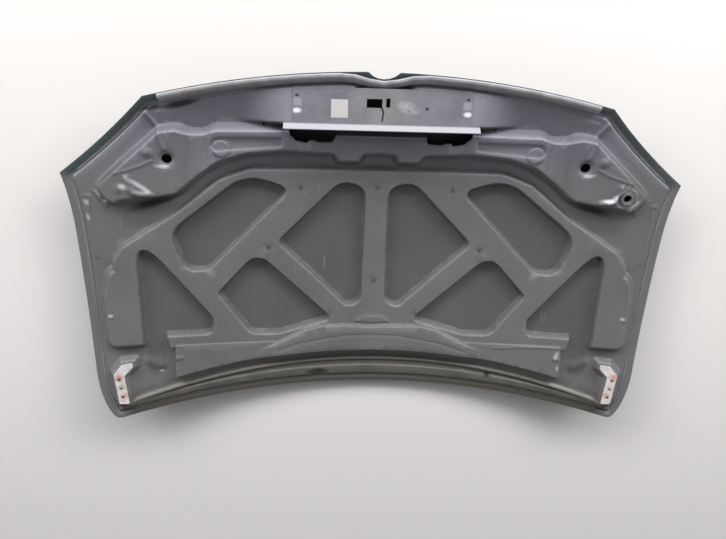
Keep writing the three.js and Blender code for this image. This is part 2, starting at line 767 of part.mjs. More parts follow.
function frameSheet() {
  const half = rightOutline.length;
  const { points, add } = planPoints();
  const edge = insetOutline(flangeEdgeInset).slice(0, half);
  const foot = insetOutline(flangeWidth).slice(0, half);
  const top = insetOutline(flangeWidth + flangeStepRun).slice(0, half);
  edge.forEach((q, i) => {
    points.push({ x: i === 0 || i === half - 1 ? 0 : q.x, y: q.y, height: flangeHeight });
  });
  foot.forEach((q) => {
    const atFront = q.x < sealHalfLength && q.y > frontCornerFromRear - flangeWidth;
    const past = atFront ? q.y - sealInnerEdge(q.x) : 0;
    add(q.x, past > 0 && past <= 5 ? q.y - past : q.y, 4, { height: flangeHeight });
  });
  wideFlangePlaces(foot).forEach((q) => add(q.x, q.y, 4, { height: flangeHeight }));
  top.forEach((q) => add(q.x, Math.min(q.y, sealInnerEdge(q.x) - flangeStepRun), 4));
  const inFrame = (x, v, margin) => (
    insideFlange(x, v) > flangeStepRun + margin && isInside(x, v, fullOutline)
  );
  const standing = (q) => frameRise(q.x, q.y) - skinRise(q.x, q.y);
  // The top and the foot of a wall where the sheet steps, also where they cross the centre line
  const wall = ({ coarse, run, clockwise }, apart, margin = 3, reach = run / 2 + 0.2) => {
    const lines = [1, -1].map((side) => offsetLine(coarse, side * reach * (clockwise ? 1 : -1), true));
    const steps = coarse.map((_, i) => Math.abs(standing(lines[0][i]) - standing(lines[1][i])) > 1.2);
    for (const line of lines) {
      line.forEach((q, i) => {
        const next = line[(i + 1) % line.length];
        if (q.x * next.x < 0) {
          const v = q.y + (next.y - q.y) * q.x / (q.x - next.x);
          if (inFrame(0, v, 3)) {
            add(0, v, 3);
          }
        }
      });
      line.forEach((q, i) => {
        if (steps[i] && inFrame(q.x, q.y, margin)) {
          add(q.x, q.y, apart);
        }
      });
    }
  };
  // Points of a line along the rear edge, opposite the outline's own points
  const along = (line, to) => {
    const pitch = rearRunStart / Math.round(rearRunStart / edgePitch);
    for (let x = 0; x <= to; x += pitch) {
      if (inFrame(x, line(x), 3)) {
        add(x, line(x), 4);
      }
    }
  };
  wall(latchSeat, 7);
  wall(propBoss, 5);
  wall(hingePad, 7);
  wall(padDimple, 5);
  pockets.forEach((pocket) => wall(pocket, 7));
  wall(beam, 8);
  wall(web, 8);
  wall(rearArch, 7);
  wall(sidePad, 8, 9);
  wall(rearPanel, 7);
  wall(beamRecess, 5);
  wall(beamDisc, 4);
  wall(padStep, 5);
  wall(padFoot, 9);
  wall(centreEmboss, 6);
  const beadMiddle = (x) => (beadFront(x) + beadRear(x)) / 2;
  along((x) => rearWall(x) + rearWallRun / 2, rearPanelHalfWidth);
  along((x) => rearWall(x) - rearWallRun / 2, rearPanelHalfWidth);
  along(beadFront, rearRunStart);
  along(beadMiddle, rearRunStart);
  along(beadRear, rearRunStart);
  along((x) => rearCrest(x) + 3, rearRunStart);
  along((x) => rearCrest(x) - 4, rearRunStart);
  for (let v = 0; v < frontCrownFromRear; v += framePitch / 2) {
    if (inFrame(0, v, 6)) {
      add(0, v, 12);
    }
  }
  for (let row = 0, v = 60; v < frontCrownFromRear; row += 1, v += framePitch * 0.87) {
    for (let x = row % 2 ? 0 : framePitch / 2; x < wingHalfWidth; x += framePitch) {
      if (inFrame(x, v, 6)) {
        add(x, v, framePitch * 0.5);
      }
    }
  }
  const rim = insetOutline(flangeEdgeInset);
  const sheet = wholeSheet(points, rim);
  const vertices = sheet.vertices.map(({ x, y, height }) => (
    height ? pointOnSkin(x, y, height) : new THREE.Vector3(x, y, frameRise(x, y))
  ));
  return thicken(vertices, sheet.triangles, frameThickness);
}

function innerFrame() {
  const cutters = [
    roundCutter(padHoleCentre, padHoleRadius, 20),
    roundCutter([-padHoleCentre[0], padHoleCentre[1]], padHoleRadius, 20),
    roundCutter(propSocketCentre, propHoleRadius, 20),
    ...clipHoleCentres.map((centre) => roundCutter(centre, clipHoleRadius)),
    ...smallHoleCentres.map((centre) => roundCutter(centre, smallHoleRadius, 8)),
    ...latchCutters(),
  ];
  for (const side of [1, -1]) {
    const inner = beamWindowInner;
    const outer = ledgeHalfWidth - beamWindowSetIn;
    const foot = beamWindowFoot;
    const window = [
      [inner, ledgeRear], [outer, ledgeRear], [outer - 4, foot + 20], [outer - 14, foot + 6],
      [outer - 40, foot], [outer - 46, foot + 7], [outer - 56, foot + 7], [inner + 43, foot + 2],
      [inner + 11, foot + 4],
    ];
    const corners = window.map(([x, v]) => [side * x, v]);
    cutters.push(prism(side > 0 ? corners : corners.reverse(), 45, 130));
    const [xLocator, vLocator] = hingePlateMiddle;
    cutters.push(roundCutter([side * xLocator, vLocator], hingeLocatorRadius, 10));
    for (const [x, v] of hingeBoltPlaces) {
      cutters.push(roundCutter([side * x, v], hingeBoltRadius, 10));
    }
  }
  return cutAway(frameSheet(), cutters);
}

// Latch reinforcement

function latchCutters() {
  const slot = ([x, v], width, length) => {
    const geometry = new THREE.BoxGeometry(width, length, 60);
    geometry.translate(x, v, latchPlateRearRise);
    return geometry;
  };
  return [
    slot(latchSlotCentre, latchSlotWidth, latchSlotLength),
    slot(sideSlotCentre, sideSlotWidth, latchSlotLength),
  ];
}

function latchReinforcement() {
  const half = latchPlateThickness / 2;
  const section = new THREE.Shape();
  section.moveTo(latchPlateFront, latchPlane(latchPlateFront) - half);
  section.lineTo(latchPlateFront, latchPlane(latchPlateFront) + half);
  section.lineTo(latchPlateRear, latchPlane(latchPlateRear) + half);
  section.lineTo(latchPlateRear - ledgeRun, latchPlane(latchPlateRear) + half + ledgeRise);
  section.lineTo(latchPlateRear - ledgeRun - latchPlateThickness, latchPlane(latchPlateRear) + ledgeRise);
  section.lineTo(latchPlateRear - latchPlateThickness, latchPlane(latchPlateRear) - half);
  const bent = new THREE.ExtrudeGeometry(section, { depth: 2 * ledgeHalfWidth, bevelEnabled: false });
  // the section is drawn in (v, z); turned so that v is Y, z is Z and the length is X
  bent.applyMatrix4(new THREE.Matrix4().makeBasis(
    new THREE.Vector3(0, 1, 0),
    new THREE.Vector3(0, 0, 1),
    new THREE.Vector3(1, 0, 0),
  ));
  bent.translate(-ledgeHalfWidth, 0, 0);
  const cutters = latchCutters();
  for (const side of [1, -1]) {
    const overhang = ledgeHalfWidth - latchPlateHalfWidth;
    const corner = new THREE.BoxGeometry(2 * overhang, latchPlateFront - latchPlateRear + 40, 60);
    const middle = (latchPlateFront + latchPlateRear) / 2 + 21;
    corner.translate(side * (latchPlateHalfWidth + overhang), middle, latchPlateFrontRise);
    cutters.push(corner);
  }
  return cutAway(bent, cutters);
}

// Strips that follow the skin

// Carries a section [across, height] along a line of plan points and closes both ends
function stripOnSkin(line, section) {
  const vertices = [];
  const triangles = [];
  const count = section.length;
  const offsets = section.map(([across]) => offsetLine(line, across, false));
  line.forEach((_, i) => {
    section.forEach(([, height], s) => {
      vertices.push(pointOnSkin(offsets[s][i].x, offsets[s][i].y, height));
    });
  });
  for (let i = 0; i + 1 < line.length; i += 1) {
    for (let s = 0; s < count; s += 1) {
      const a = i * count + s;
      const b = i * count + (s + 1) % count;
      triangles.push([a, b, b + count], [a, b + count, a + count]);
    }
  }
  const flat = section.map(([across, height]) => new THREE.Vector2(across, height));
  const cap = THREE.ShapeUtils.triangulateShape(flat, []);
  const last = (line.length - 1) * count;
  for (const [a, b, c] of cap) {
    triangles.push([a, c, b], [last + a, last + b, last + c]);
  }
  return outwards(geometryOf(vertices, triangles));
}

function outwards(geometry) {
  const position = geometry.attributes.position;
  const index = geometry.index.array;
  const corner = [new THREE.Vector3(), new THREE.Vector3(), new THREE.Vector3()];
  let volume = 0;
  for (let i = 0; i < index.length; i += 3) {
    corner.forEach((p, k) => p.fromBufferAttribute(position, index[i + k]));
    volume += corner[0].dot(corner[1].cross(corner[2]));
  }
  if (volume < 0) {
    for (let i = 0; i < index.length; i += 3) {
      [index[i], index[i + 1]] = [index[i + 1], index[i]];
    }
  }
  return geometry;
}

function frontSeal() {
  const steps = 30;
  const line = Array.from({ length: steps + 1 }, (_, i) => {
    const x = sealHalfLength * (2 * i / steps - 1);
    return new THREE.Vector2(x, sealLine(x));
  });
  const base = lipTop + seatGap;
  const half = sealWidth / 2;
  const section = [
    [-half, base], [half, base], [half, base + sealHeight * 0.35],
    [half * 0.72, base + sealHeight * 0.8], [half * 0.25, base + sealHeight],
    [-half * 0.25, base + sealHeight], [-half * 0.72, base + sealHeight * 0.8],
    [-half, base + sealHeight * 0.35],
  ];
  return stripOnSkin(line, section);
}

// Sealer bead laid on the flange along the end of the hem lip, between two outline points
function sealerBead(from, to) {
  const line = insetOutline(hemLip + seatGap + sealerWidth / 2).slice(from, to);
  const base = flangeHeight + seatGap;
  const half = sealerWidth / 2;
  return stripOnSkin(line, [
    [-half, base], [half, base], [half * 0.5, base + sealerHeight], [-half * 0.5, base + sealerHeight],
  ]);
}

// Small pieces

// Turns a piece so that its Z axis leans with the skin at a place
function leanAt([x, v]) {
  const [sx, sv] = skinSlope(x, v);
  return new THREE.Quaternion().setFromUnitVectors(
    new THREE.Vector3(0, 0, 1),
    new THREE.Vector3(-sx, -sv, 1).normalize(),
  );
}

function hingePlate(side) {
  const [x0, v0] = hingePlateMiddle;
  const corners = hingePlateCorners.map(([x, v, r]) => [side * (x - x0), v - v0, r]);
  const outline = roundedLoop(side > 0 ? corners.reverse() : corners).getPoints(3);
  const shape = new THREE.Shape(outline.slice(0, -1));
  for (const [x, v] of hingeBoltPlaces) {
    const hole = new THREE.Path();
    hole.absarc(side * (x - x0), v - v0, hingeBoltRadius, 0, 2 * Math.PI, true);
    shape.holes.push(hole);
  }
  const locator = new THREE.Path();
  locator.absarc(0, 0, hingeLocatorRadius, 0, 2 * Math.PI, true);
  shape.holes.push(locator);
  const depth = hingePlateThickness;
  return new THREE.ExtrudeGeometry(shape, { depth, bevelEnabled: false, curveSegments: 6 });
}

function weldNut(bore) {
  const shape = new THREE.Shape();
  cut(6, (t) => t).forEach((t, i) => {
    const angle = 2 * Math.PI * t;
    const place = [weldNutRadius * Math.cos(angle), weldNutRadius * Math.sin(angle)];
    if (i === 0) {
      shape.moveTo(...place);
    } else {
      shape.lineTo(...place);
    }
  });
  const hole = new THREE.Path();
  hole.absarc(0, 0, bore, 0, 2 * Math.PI, true);
  shape.holes.push(hole);
  const depth = weldNutThickness;
  return new THREE.ExtrudeGeometry(shape, { depth, bevelEnabled: false, curveSegments: 6 });
}

function propSocket() {
  const neck = propHoleRadius - seatGap;
  const profile = [
    [propSocketBore, -propSocketDepth], [neck, -propSocketDepth], [neck, seatGap],
    [propSocketFlange, seatGap], [propSocketFlange - 0.8, propSocketLip],
    [propSocketBore + 1, propSocketLip], [propSocketBore, propSocketLip - 1],
    [propSocketBore, -propSocketDepth],
  ];
  const geometry = new THREE.LatheGeometry(profile.map(([r, z]) => new THREE.Vector2(r, z)), 20);
  geometry.rotateX(Math.PI / 2);
  return geometry;
}

function masticPad(centre) {
  const line = [-1, -0.5, 0.5, 1].map((t) => new THREE.Vector2(centre[0] + t * masticHalfLength, centre[1]));
  const base = skinThickness + seatGap;
  const top = shelfHeight - frameThickness - seatGap - 0.15;
  const half = masticHalfWidth;
  return stripOnSkin(line, [[-half, base], [half, base], [half * 0.8, top], [-half * 0.8, top]]);
}

// Assembly

const colours = {
  frame: 0x55565a,
  skin: 0x2e3a3a,
  plate: 0x8a8a8e,
  pale: 0xd9d6cf,
  rubber: 0xa9a8ac,
  steel: 0x77756f,
  mastic: 0x2b2b2b,
  paper: 0xe8e4d6,
  plastic: 0x1c1c1e,
};

function material(colour, roughness, metalness) {
  return new THREE.MeshStandardMaterial({ color: colour, roughness, metalness });
}

const bonnet = new THREE.Group();
bonnet.name = 'bonnet';

function addPiece(name, geometry, look, place = null, lean = null) {
  const mesh = new THREE.Mesh(geometry, look);
  mesh.name = name;
  if (place) {
    mesh.position.set(...place);
  }
  if (lean) {
    mesh.quaternion.copy(lean);
  }
  bonnet.add(mesh);
  return mesh;
}

addPiece('outer_skin', outerSkin(), material(colours.skin, 0.45, 0.2));
addPiece('inner_frame', innerFrame(), material(colours.frame, 0.6, 0.2));
addPiece('latch_reinforcement', latchReinforcement(), material(colours.plate, 0.55, 0.2));
addPiece('front_seal', frontSeal(), material(colours.rubber, 0.8, 0));

const sides = [['right', 1], ['left', -1]];
const nutDrop = frameThickness + seatGap + weldNutThickness;

for (const [name, side] of sides) {
  const [x0, v0] = hingePlateMiddle;
  const lean = leanAt([side * x0, v0]);
  addPiece(`hinge_plate_${name}`, hingePlate(side), material(colours.pale, 0.5, 0.3),
    [side * x0, v0, hingePlane(x0, v0) + seatGap], lean);
  hingeBoltPlaces.forEach(([x, v], i) => {
    addPiece(`hinge_nut_${name}_${i + 1}`, weldNut(hingeBoltRadius - 0.5), material(colours.steel, 0.5, 0.8),
      [side * x, v, hingePlane(x, v) - nutDrop - 0.3], lean);
  });
}

const latchLean = new THREE.Quaternion().setFromUnitVectors(
  new THREE.Vector3(0, 0, 1),
  new THREE.Vector3(0, latchPlane(0) - latchPlane(1), 1).normalize(),
);

addPiece('label_blank', new THREE.BoxGeometry(...labelSize, labelThickness), material(colours.paper, 0.9, 0),
  [...labelCentre, latchPlane(labelCentre[1]) + latchPlateThickness / 2 + seatGap + labelThickness / 2],
  latchLean);

addPiece('prop_rod_socket', propSocket(), material(colours.plastic, 0.6, 0),
  [...propSocketCentre, propPlane(...propSocketCentre) + propBossRise], leanAt(propSocketCentre));

// Hem sealer along the headlight edges, sides and rear
const frontPoints = rightOutline.findIndex((p) => p.x === frontCornerHalfWidth);
const wingPoints = rightOutline.findIndex((p) => p.x === wingHalfWidth);
const rearPoints = rightOutline.findIndex((p) => p.x === rearRunStart);
const last = fullOutline.length;
const halfLast = rightOutline.length - 1;
const beads = [
  ['headlight_right', frontPoints + 1, wingPoints],
  ['side_right', wingPoints + 1, rearPoints],
  ['rear', rearPoints + 1, 2 * halfLast - rearPoints],
  ['side_left', 2 * halfLast - rearPoints + 1, 2 * halfLast - wingPoints],
  ['headlight_left', 2 * halfLast - wingPoints + 1, 2 * halfLast - frontPoints],
];
for (const [name, from, to] of beads) {
  addPiece(`hem_sealer_${name}`, sealerBead(from, Math.min(to, last)), material(colours.mastic, 0.7, 0));
}

// Anti-flutter mastic between the pocket floors and the skin
const masticPlaces = [[350, 520], [110, 470], [250, 320], [490, 290]];
for (const [name, side] of sides) {
  masticPlaces.forEach(([x, v], i) => {
    addPiece(`mastic_${name}_${i + 1}`, masticPad([side * x, v]), material(colours.mastic, 0.9, 0));
  });
}

// The origin is under the middle of the outline, where the skin touches the ground
bonnet.updateMatrixWorld(true);
const box = new THREE.Box3().setFromObject(bonnet);
bonnet.position.set(0, -(box.min.y + box.max.y) / 2, -box.min.z);

export default bonnet;
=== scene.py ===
# %% [markdown]
# # A car bonnet, inner side up
# The bonnet is two pressed sheets. The outer skin is the smooth face that the road sees. The
# inner frame is the ribbed sheet behind it, and the skin's edge is folded over it as a hem.
# The CAD frame already holds both at their true place. This lesson loads it, then gives each
# sheet the fine surface, the paint and the wear that a photograph of an old bonnet shows.

# %% Load the frame
import math

import bmesh
import bpy
import numpy as np
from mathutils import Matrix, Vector


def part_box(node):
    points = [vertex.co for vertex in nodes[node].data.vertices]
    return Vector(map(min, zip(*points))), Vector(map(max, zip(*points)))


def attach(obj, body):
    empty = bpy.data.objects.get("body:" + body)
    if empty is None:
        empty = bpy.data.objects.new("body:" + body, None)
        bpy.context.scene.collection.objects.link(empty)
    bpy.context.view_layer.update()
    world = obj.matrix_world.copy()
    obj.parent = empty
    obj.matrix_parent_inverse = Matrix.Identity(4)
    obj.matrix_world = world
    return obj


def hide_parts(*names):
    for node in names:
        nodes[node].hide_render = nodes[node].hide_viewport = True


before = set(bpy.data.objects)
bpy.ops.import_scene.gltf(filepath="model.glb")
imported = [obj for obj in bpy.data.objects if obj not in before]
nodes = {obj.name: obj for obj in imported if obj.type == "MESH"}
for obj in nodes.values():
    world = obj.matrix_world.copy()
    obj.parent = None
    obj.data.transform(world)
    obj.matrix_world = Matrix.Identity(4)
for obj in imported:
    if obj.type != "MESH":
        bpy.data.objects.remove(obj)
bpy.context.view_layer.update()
print("nodes in the frame:", len(nodes))

# %% [markdown]
# ## Plan places
# The sheets were drawn in a plan: x runs across the car and v runs forward from the rear
# corners, in millimetres. The blank label is an even block whose plan place is known, so its
# middle gives the shift between the plan and the frame. The lowest point of the skin gives
# the height in the same way.

# %% From the frame to the plan
LABEL_PLACE_V = 803.0
CROWN_ACROSS, CROWN_ALONG, CROWN_LOWEST = 3600.0, 3500.0, 455.0
NOSE_RADIUS, NOSE_START = 500.0, 620.0


def skin_rise(x, v):
    nose = np.maximum(0.0, v - NOSE_START)
    across = x * x / (2 * CROWN_ACROSS)
    return across + (v - CROWN_LOWEST) ** 2 / (2 * CROWN_ALONG) + nose * nose / (2 * NOSE_RADIUS)


def skin_stretch(x, v):
    """How much longer a rise in Z is than the same height square to the skin."""
    nose = np.maximum(0.0, v - NOSE_START)
    along = (v - CROWN_LOWEST) / CROWN_ALONG + nose / NOSE_RADIUS
    return np.sqrt(1 + (x / CROWN_ACROSS) ** 2 + along ** 2)


label_low, label_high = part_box("label_blank")
shift_v = LABEL_PLACE_V - 500 * (label_low.y + label_high.y)
lowest = min((p.co for p in nodes["outer_skin"].data.vertices), key=lambda co: co.z)
shift_z = float(skin_rise(1000 * lowest.x, 1000 * lowest.y + shift_v)) - 1000 * lowest.z
print(f"plan shift {shift_v:.2f} mm forward, {shift_z:.3f} mm up")


def to_plan(places):
    """Frame metres to plan millimetres (x, v, z)."""
    return 1000 * np.asarray(places, float) + np.array([0, shift_v, shift_z])


def to_frame(places):
    return (np.asarray(places, float) - np.array([0, shift_v, shift_z])) / 1000


# %% [markdown]
# ## Camera, floor and light
# The bonnet lies on a plain pale floor and the camera looks down on it, a little from the
# front edge, as a person stands over it. Three wide soft boxes beyond the front edge, like a
# row of windows, light the walls that face them and leave the walls that face away dark,
# which is what draws the ribs. A small lamp would draw hard shadows that the photograph
# doesn't have. The air gives a weak even light, and is white only for the camera and for
# reflections.

# %% Camera
FRAME_WIDE, FRAME_HIGH = 726, 539
FOCAL_IN_PIXELS = 622.0
SENSOR = 36.0
scene = bpy.context.scene
camera_data = bpy.data.cameras.new("bonnet_camera")
camera_data.sensor_width = SENSOR
camera_data.lens = FOCAL_IN_PIXELS / FRAME_WIDE * SENSOR
camera = bpy.data.objects.new("bonnet_camera", camera_data)
scene.collection.objects.link(camera)
camera.location = (-0.11886879, 0.53288147, 1.48098599)
camera.rotation_euler = (-0.37729083, -0.04983195, 0.03355525)
scene.camera = camera
scene.view_settings.view_transform = "Standard"
print(f"lens {camera_data.lens:.2f} mm")

# %% Floor, lamps and background


def shader_of(name):
    """A new node material and its shader."""
    material = bpy.data.materials.new(name)
    material.use_nodes = True
    shader = material.node_tree.nodes["Principled BSDF"]
    return material, shader


floor_mesh = bpy.data.meshes.new("studio_floor")
floor_build = bmesh.new()
bmesh.ops.create_grid(floor_build, x_segments=1, y_segments=1, size=20)
floor_build.to_mesh(floor_mesh)
floor_build.free()
floor = bpy.data.objects.new("studio_floor", floor_mesh)
scene.collection.objects.link(floor)
floor_paint, floor_shader = shader_of("floor_plaster")
floor_shader.inputs["Base Color"].default_value = (0.76, 0.735, 0.72, 1)
floor_shader.inputs["Roughness"].default_value = 0.9
floor_shader.inputs["Specular IOR Level"].default_value = 0.1
floor_mesh.materials.append(floor_paint)

world = bpy.data.worlds.new("studio_air")
scene.world = world
world.use_nodes = True
air = world.node_tree
air.nodes.clear()
out = air.nodes.new("ShaderNodeOutputWorld")
ambient = air.nodes.new("ShaderNodeBackground")
ambient.inputs["Color"].default_value = (0.95, 0.97, 1.0, 1)
ambient.inputs["Strength"].default_value = 0.21
seen = air.nodes.new("ShaderNodeBackground")
seen.inputs["Color"].default_value = (1, 1, 1, 1)
seen.inputs["Strength"].default_value = 1.0
rays = air.nodes.new("ShaderNodeLightPath")
glossy = air.nodes.new("ShaderNodeMath")
glossy.operation = "MAXIMUM"
through = air.nodes.new("ShaderNodeMath")
through.operation = "MAXIMUM"
mixed = air.nodes.new("ShaderNodeMixShader")
air.links.new(rays.outputs["Is Camera Ray"], glossy.inputs[0])
air.links.new(rays.outputs["Is Glossy Ray"], glossy.inputs[1])
air.links.new(glossy.outputs[0], through.inputs[0])
air.links.new(rays.outputs["Is Transmission Ray"], through.inputs[1])
air.links.new(through.outputs[0], mixed.inputs[0])
air.links.new(ambient.outputs[0], mixed.inputs[1])
air.links.new(seen.outputs[0], mixed.inputs[2])
air.links.new(mixed.outputs[0], out.inputs["Surface"])


def aim(lamp, place, target):
    lamp.location = place
    lamp.rotation_euler = (Vector(target) - Vector(place)).to_track_quat("-Z", "Y").to_euler()


def softbox(name, place, target, size, energy):
    light = bpy.data.lights.new(name, "AREA")
    light.shape = "RECTANGLE"
    light.size, light.size_y = size
    light.energy = energy
    lamp = bpy.data.objects.new(name, light)
    scene.collection.objects.link(lamp)
    aim(lamp, place, target)
    return light


middle_light = softbox("window_wall", (0.1, 3.6, 1.9), (0, 0, 0), (7.0, 1.3), 275)
left_light = softbox("window_left", (-3.2, 2.6, 1.9), (0, 0, 0), (2.6, 1.3), 90)
right_light = softbox("window_right", (3.2, 2.6, 1.9), (0, 0, 0), (2.6, 1.3), 90)
print("lamps:", middle_light.energy, left_light.energy, right_light.energy)

# %% [markdown]
# ## The pressed shape as a formula
# A press tool makes smooth walls between flat levels. The levels and loops of the CAD sheet
# are written here as a height over any plan place, so that the sheet can be cut as fine as
# the eye needs and each new point still lies on the true surface. The pockets' walls are a
# little steeper than in the CAD, their corners a little rounder, and the rear arch falls
# somewhat more towards its ends.

# %% Loops with rounded corners
FINE_CORNER = 10


def rounded_loop(corners):
    """A closed loop of plan points through corners (x, v, radius)."""
    places = [np.array(corner[:2], float) for corner in corners]
    loop = []
    for i, corner in enumerate(places):
        before = places[i - 1] - corner
        after = places[(i + 1) % len(places)] - corner
        long_before, long_after = np.linalg.norm(before), np.linalg.norm(after)
        half = math.acos(np.clip(before @ after / (long_before * long_after), -1, 1)) / 2
        reach = min(corners[i][2] / math.tan(half), 0.48 * long_before, 0.48 * long_after)
        start = corner + before / long_before * reach
        end = corner + after / long_after * reach
        for t in np.linspace(0, 1, FINE_CORNER):
            loop.append((1 - t) ** 2 * start + 2 * t * (1 - t) * corner + t * t * end)
    return np.array(loop)


def circle_loop(centre, radius):
    turn = np.linspace(0, 2 * np.pi, 33)[:-1]
    return np.stack([centre[0] + radius * np.cos(turn), centre[1] + radius * np.sin(turn)], 1)


def inside_by(loop, x, v, reach):
    """How far inside a closed loop each place lies, never less than -reach."""
    signed = np.full(x.shape, -float(reach))
    low, high = loop.min(0) - reach, loop.max(0) + reach
    near = (x > low[0]) & (x < high[0]) & (v > low[1]) & (v < high[1])
    px, pv = x[near], v[near]
    best = np.full(px.shape, 1e12)
    inside = np.zeros(px.shape, bool)
    for (ax, av), (bx, bv) in zip(loop, np.roll(loop, -1, 0)):
        dx, dv = bx - ax, bv - av
        size = dx * dx + dv * dv
        if size < 1e-9:
            continue
        t = np.clip(((px - ax) * dx + (pv - av) * dv) / size, 0, 1)
        best = np.minimum(best, (px - ax - t * dx) ** 2 + (pv - av - t * dv) ** 2)
        if av != bv:
            crossing = (av > pv) != (bv > pv)
            inside ^= crossing & (px < dx * (pv - av) / dv + ax)
    signed[near] = np.where(inside, 1, -1) * np.sqrt(best)
    return signed


def smooth(t):
    t = np.clip(t, 0, 1)
    return t * t * (3 - 2 * t)


def share(part, x, v):
    """1 inside a pressed part, 0 outside it, with a smooth wall between."""
    loop, run = part
    return smooth(0.5 + inside_by(loop, x, v, run) / run)


def near_line(corners, x, v):
    """Distance to an open line of plan points."""
    best = np.full(x.shape, 1e12)
    for (ax, av), (bx, bv) in zip(corners[:-1], corners[1:]):
        dx, dv = bx - ax, bv - av
        t = np.clip(((x - ax) * dx + (v - av) * dv) / (dx * dx + dv * dv), 0, 1)
        best = np.minimum(best, (x - ax - t * dx) ** 2 + (v - av - t * dv) ** 2)
    return np.sqrt(best)


# %% [markdown]
# ## The outline and the pressed parts
# The outline has a shallow rear arch, bent-in headlight edges and a notch at the middle of
# the front. Each pressed part is a loop, and a wall width. The right half is listed, and the
# left half is read by the size of x alone.

# %% Outline
FRONT_CROWN, FRONT_CORNER = 881.5, (515.0, 818.0)
WING_CORNER, REAR_CORNER, REAR_ARCH = (716.0, 645.0), 655.0, 78.0
SIDE_FRONT, SIDE_REAR, REAR_ROUND, REAR_TIP = (701.0, 500.0), (694.0, 135.0), 46.0, 14.0
HEADLIGHT_HOLLOW, NOTCH_HALF, NOTCH_DEPTH = 4.0, 35.0, 15.0


def front_edge(x):
    return FRONT_CROWN - (FRONT_CROWN - FRONT_CORNER[1]) * (x / FRONT_CORNER[0]) ** 2


def rear_edge(x):
    return REAR_ARCH * (1 - (x / REAR_CORNER) ** 2)


def rear_line(x, offset, narrowing):
    return rear_edge(x) + offset - narrowing * (x / REAR_CORNER) ** 2


def bent(start, middle, end, steps):
    t = np.linspace(0, 1, steps + 1)[:-1, None]
    start, middle, end = (np.array(p, float) for p in (start, middle, end))
    return (1 - t) ** 2 * start + 2 * t * (1 - t) * middle + t * t * end


def right_outline():
    rows = []
    notch_radius = (NOTCH_HALF ** 2 + NOTCH_DEPTH ** 2) / (2 * NOTCH_DEPTH)
    notch_centre = front_edge(NOTCH_HALF) - NOTCH_DEPTH + notch_radius
    for x in np.linspace(0, NOTCH_HALF, 9)[:-1]:
        rows.append((x, notch_centre - math.sqrt(notch_radius ** 2 - x * x)))
    rows += [(x, front_edge(x)) for x in np.linspace(NOTCH_HALF, FRONT_CORNER[0], 49)[:-1]]
    corner, wing = np.array(FRONT_CORNER), np.array(WING_CORNER)
    along = (wing - corner) / np.linalg.norm(wing - corner)
    middle = (corner + wing) / 2 + 2 * HEADLIGHT_HOLLOW * np.array([along[1], -along[0]])
    rows += list(bent(corner, middle, wing, 20))
    flare = (SIDE_FRONT[0] + 2, (WING_CORNER[1] + SIDE_FRONT[1]) / 2 + 12)
    rows += list(bent(wing, flare, SIDE_FRONT, 16))
    rows.append(SIDE_FRONT)
    tail = bent(SIDE_REAR, (SIDE_REAR[0] - 4, REAR_ROUND), (REAR_CORNER, 0), 200)
    walked = np.concatenate([[0], np.cumsum(np.hypot(*np.diff(tail, axis=0).T))])
    whole = walked[-1] + math.hypot(tail[-1][0] - REAR_CORNER, tail[-1][1])
    stops = np.linspace(0, whole - REAR_TIP, 17)
    rows += [(np.interp(d, walked, tail[:, 0]), np.interp(d, walked, tail[:, 1])) for d in stops]
    rear_start = REAR_CORNER - REAR_TIP
    rows += list(bent(rows[-1], (REAR_CORNER, 0), (rear_start, rear_edge(rear_start)), 6)[1:])
    rows += [(x, rear_edge(x)) for x in np.linspace(rear_start, 0, 61)]
    return np.array(rows, float)


half_outline = right_outline()
outline = np.concatenate([half_outline, (half_outline * [-1, 1])[::-1][1:-1]])
print("outline points:", len(outline))

# %% Pressed parts
OVER_CENTRE = -60


def rear_wall(x):
    return rear_line(x, 101, 36)


def pressed(corners, run):
    return rounded_loop(corners), run


def mirror_loop(right, run):
    """A loop from its right half, closed by the mirror image."""
    return pressed([*right, *[(-x, v, r) for x, v, r in right[::-1] if x]], run)


def set_out(corners, distance):
    """Corners moved to the right of a closed walk round them."""
    places = [Vector(corner) for corner in corners]
    moved = []
    for i, place in enumerate(places):
        a = (place - places[i - 1]).normalized()
        b = (places[(i + 1) % len(places)] - place).normalized()
        across_b = Vector((b.y, -b.x))
        mitre = (Vector((a.y, -a.x)) + across_b).normalized()
        moved.append(tuple(place + mitre * distance / max(0.5, abs(mitre.dot(across_b)))))
    return moved


web = mirror_loop([
    (300, 656, 60), (372, 630, 60), (470, 553, 40), (600, 470, 40), (630, 430, 30), (622, 395, 20),
    (560, 395, 5), (511, 194, 10),
], 11)
pockets = [pressed(corners, 9) for corners in (
    [(207, 606, 20), (310, 640, 98), (495, 497, 60), (458, 402, 36), (406, 404, 40)],
    [(28, 610, 38), (86, 626, 48), (238, 473, 18), (64, 299, 30), (32, 316, 30)],
    [(290, 444, 42), (387, 339, 12), (309, 228, 36), (238, 228, 30), (150, 254, 30), (104, 264, 12)],
    [(571, 498, 31), (404, 275, 16), (404, 232, 22), (522, 232, 12), (530, 120, 12), (571, 120, 12)],
)]
beam = mirror_loop([
    (0, 756, 5), (366, 754, 20), (398, 743, 20), (425, 744, 20), (453, 753, 20), (490, 748, 20),
    (650, 612, 22), (624, 580, 20), (560, 550, 25), (512, 562, 40), (464, 594, 60), (418, 632, 60),
    (362, 672, 60), (303, 689, 60), (213, 697, 40), (106, 692, 10), (94, 673, 10), (46, 673, 10),
    (36, 692, 10), (0, 694, 10),
], 18)
beam_recess = pressed([(222, 732, 6), (374, 732, 24), (382, 712, 20), (372, 700, 14), (222, 712, 6)], 6)
beam_disc = circle_loop((358, 706), 19), 4
pad_step = pressed([(384, 770, 5), (434, 770, 5), (446, 600, 5), (384, 640, 5)], 12)
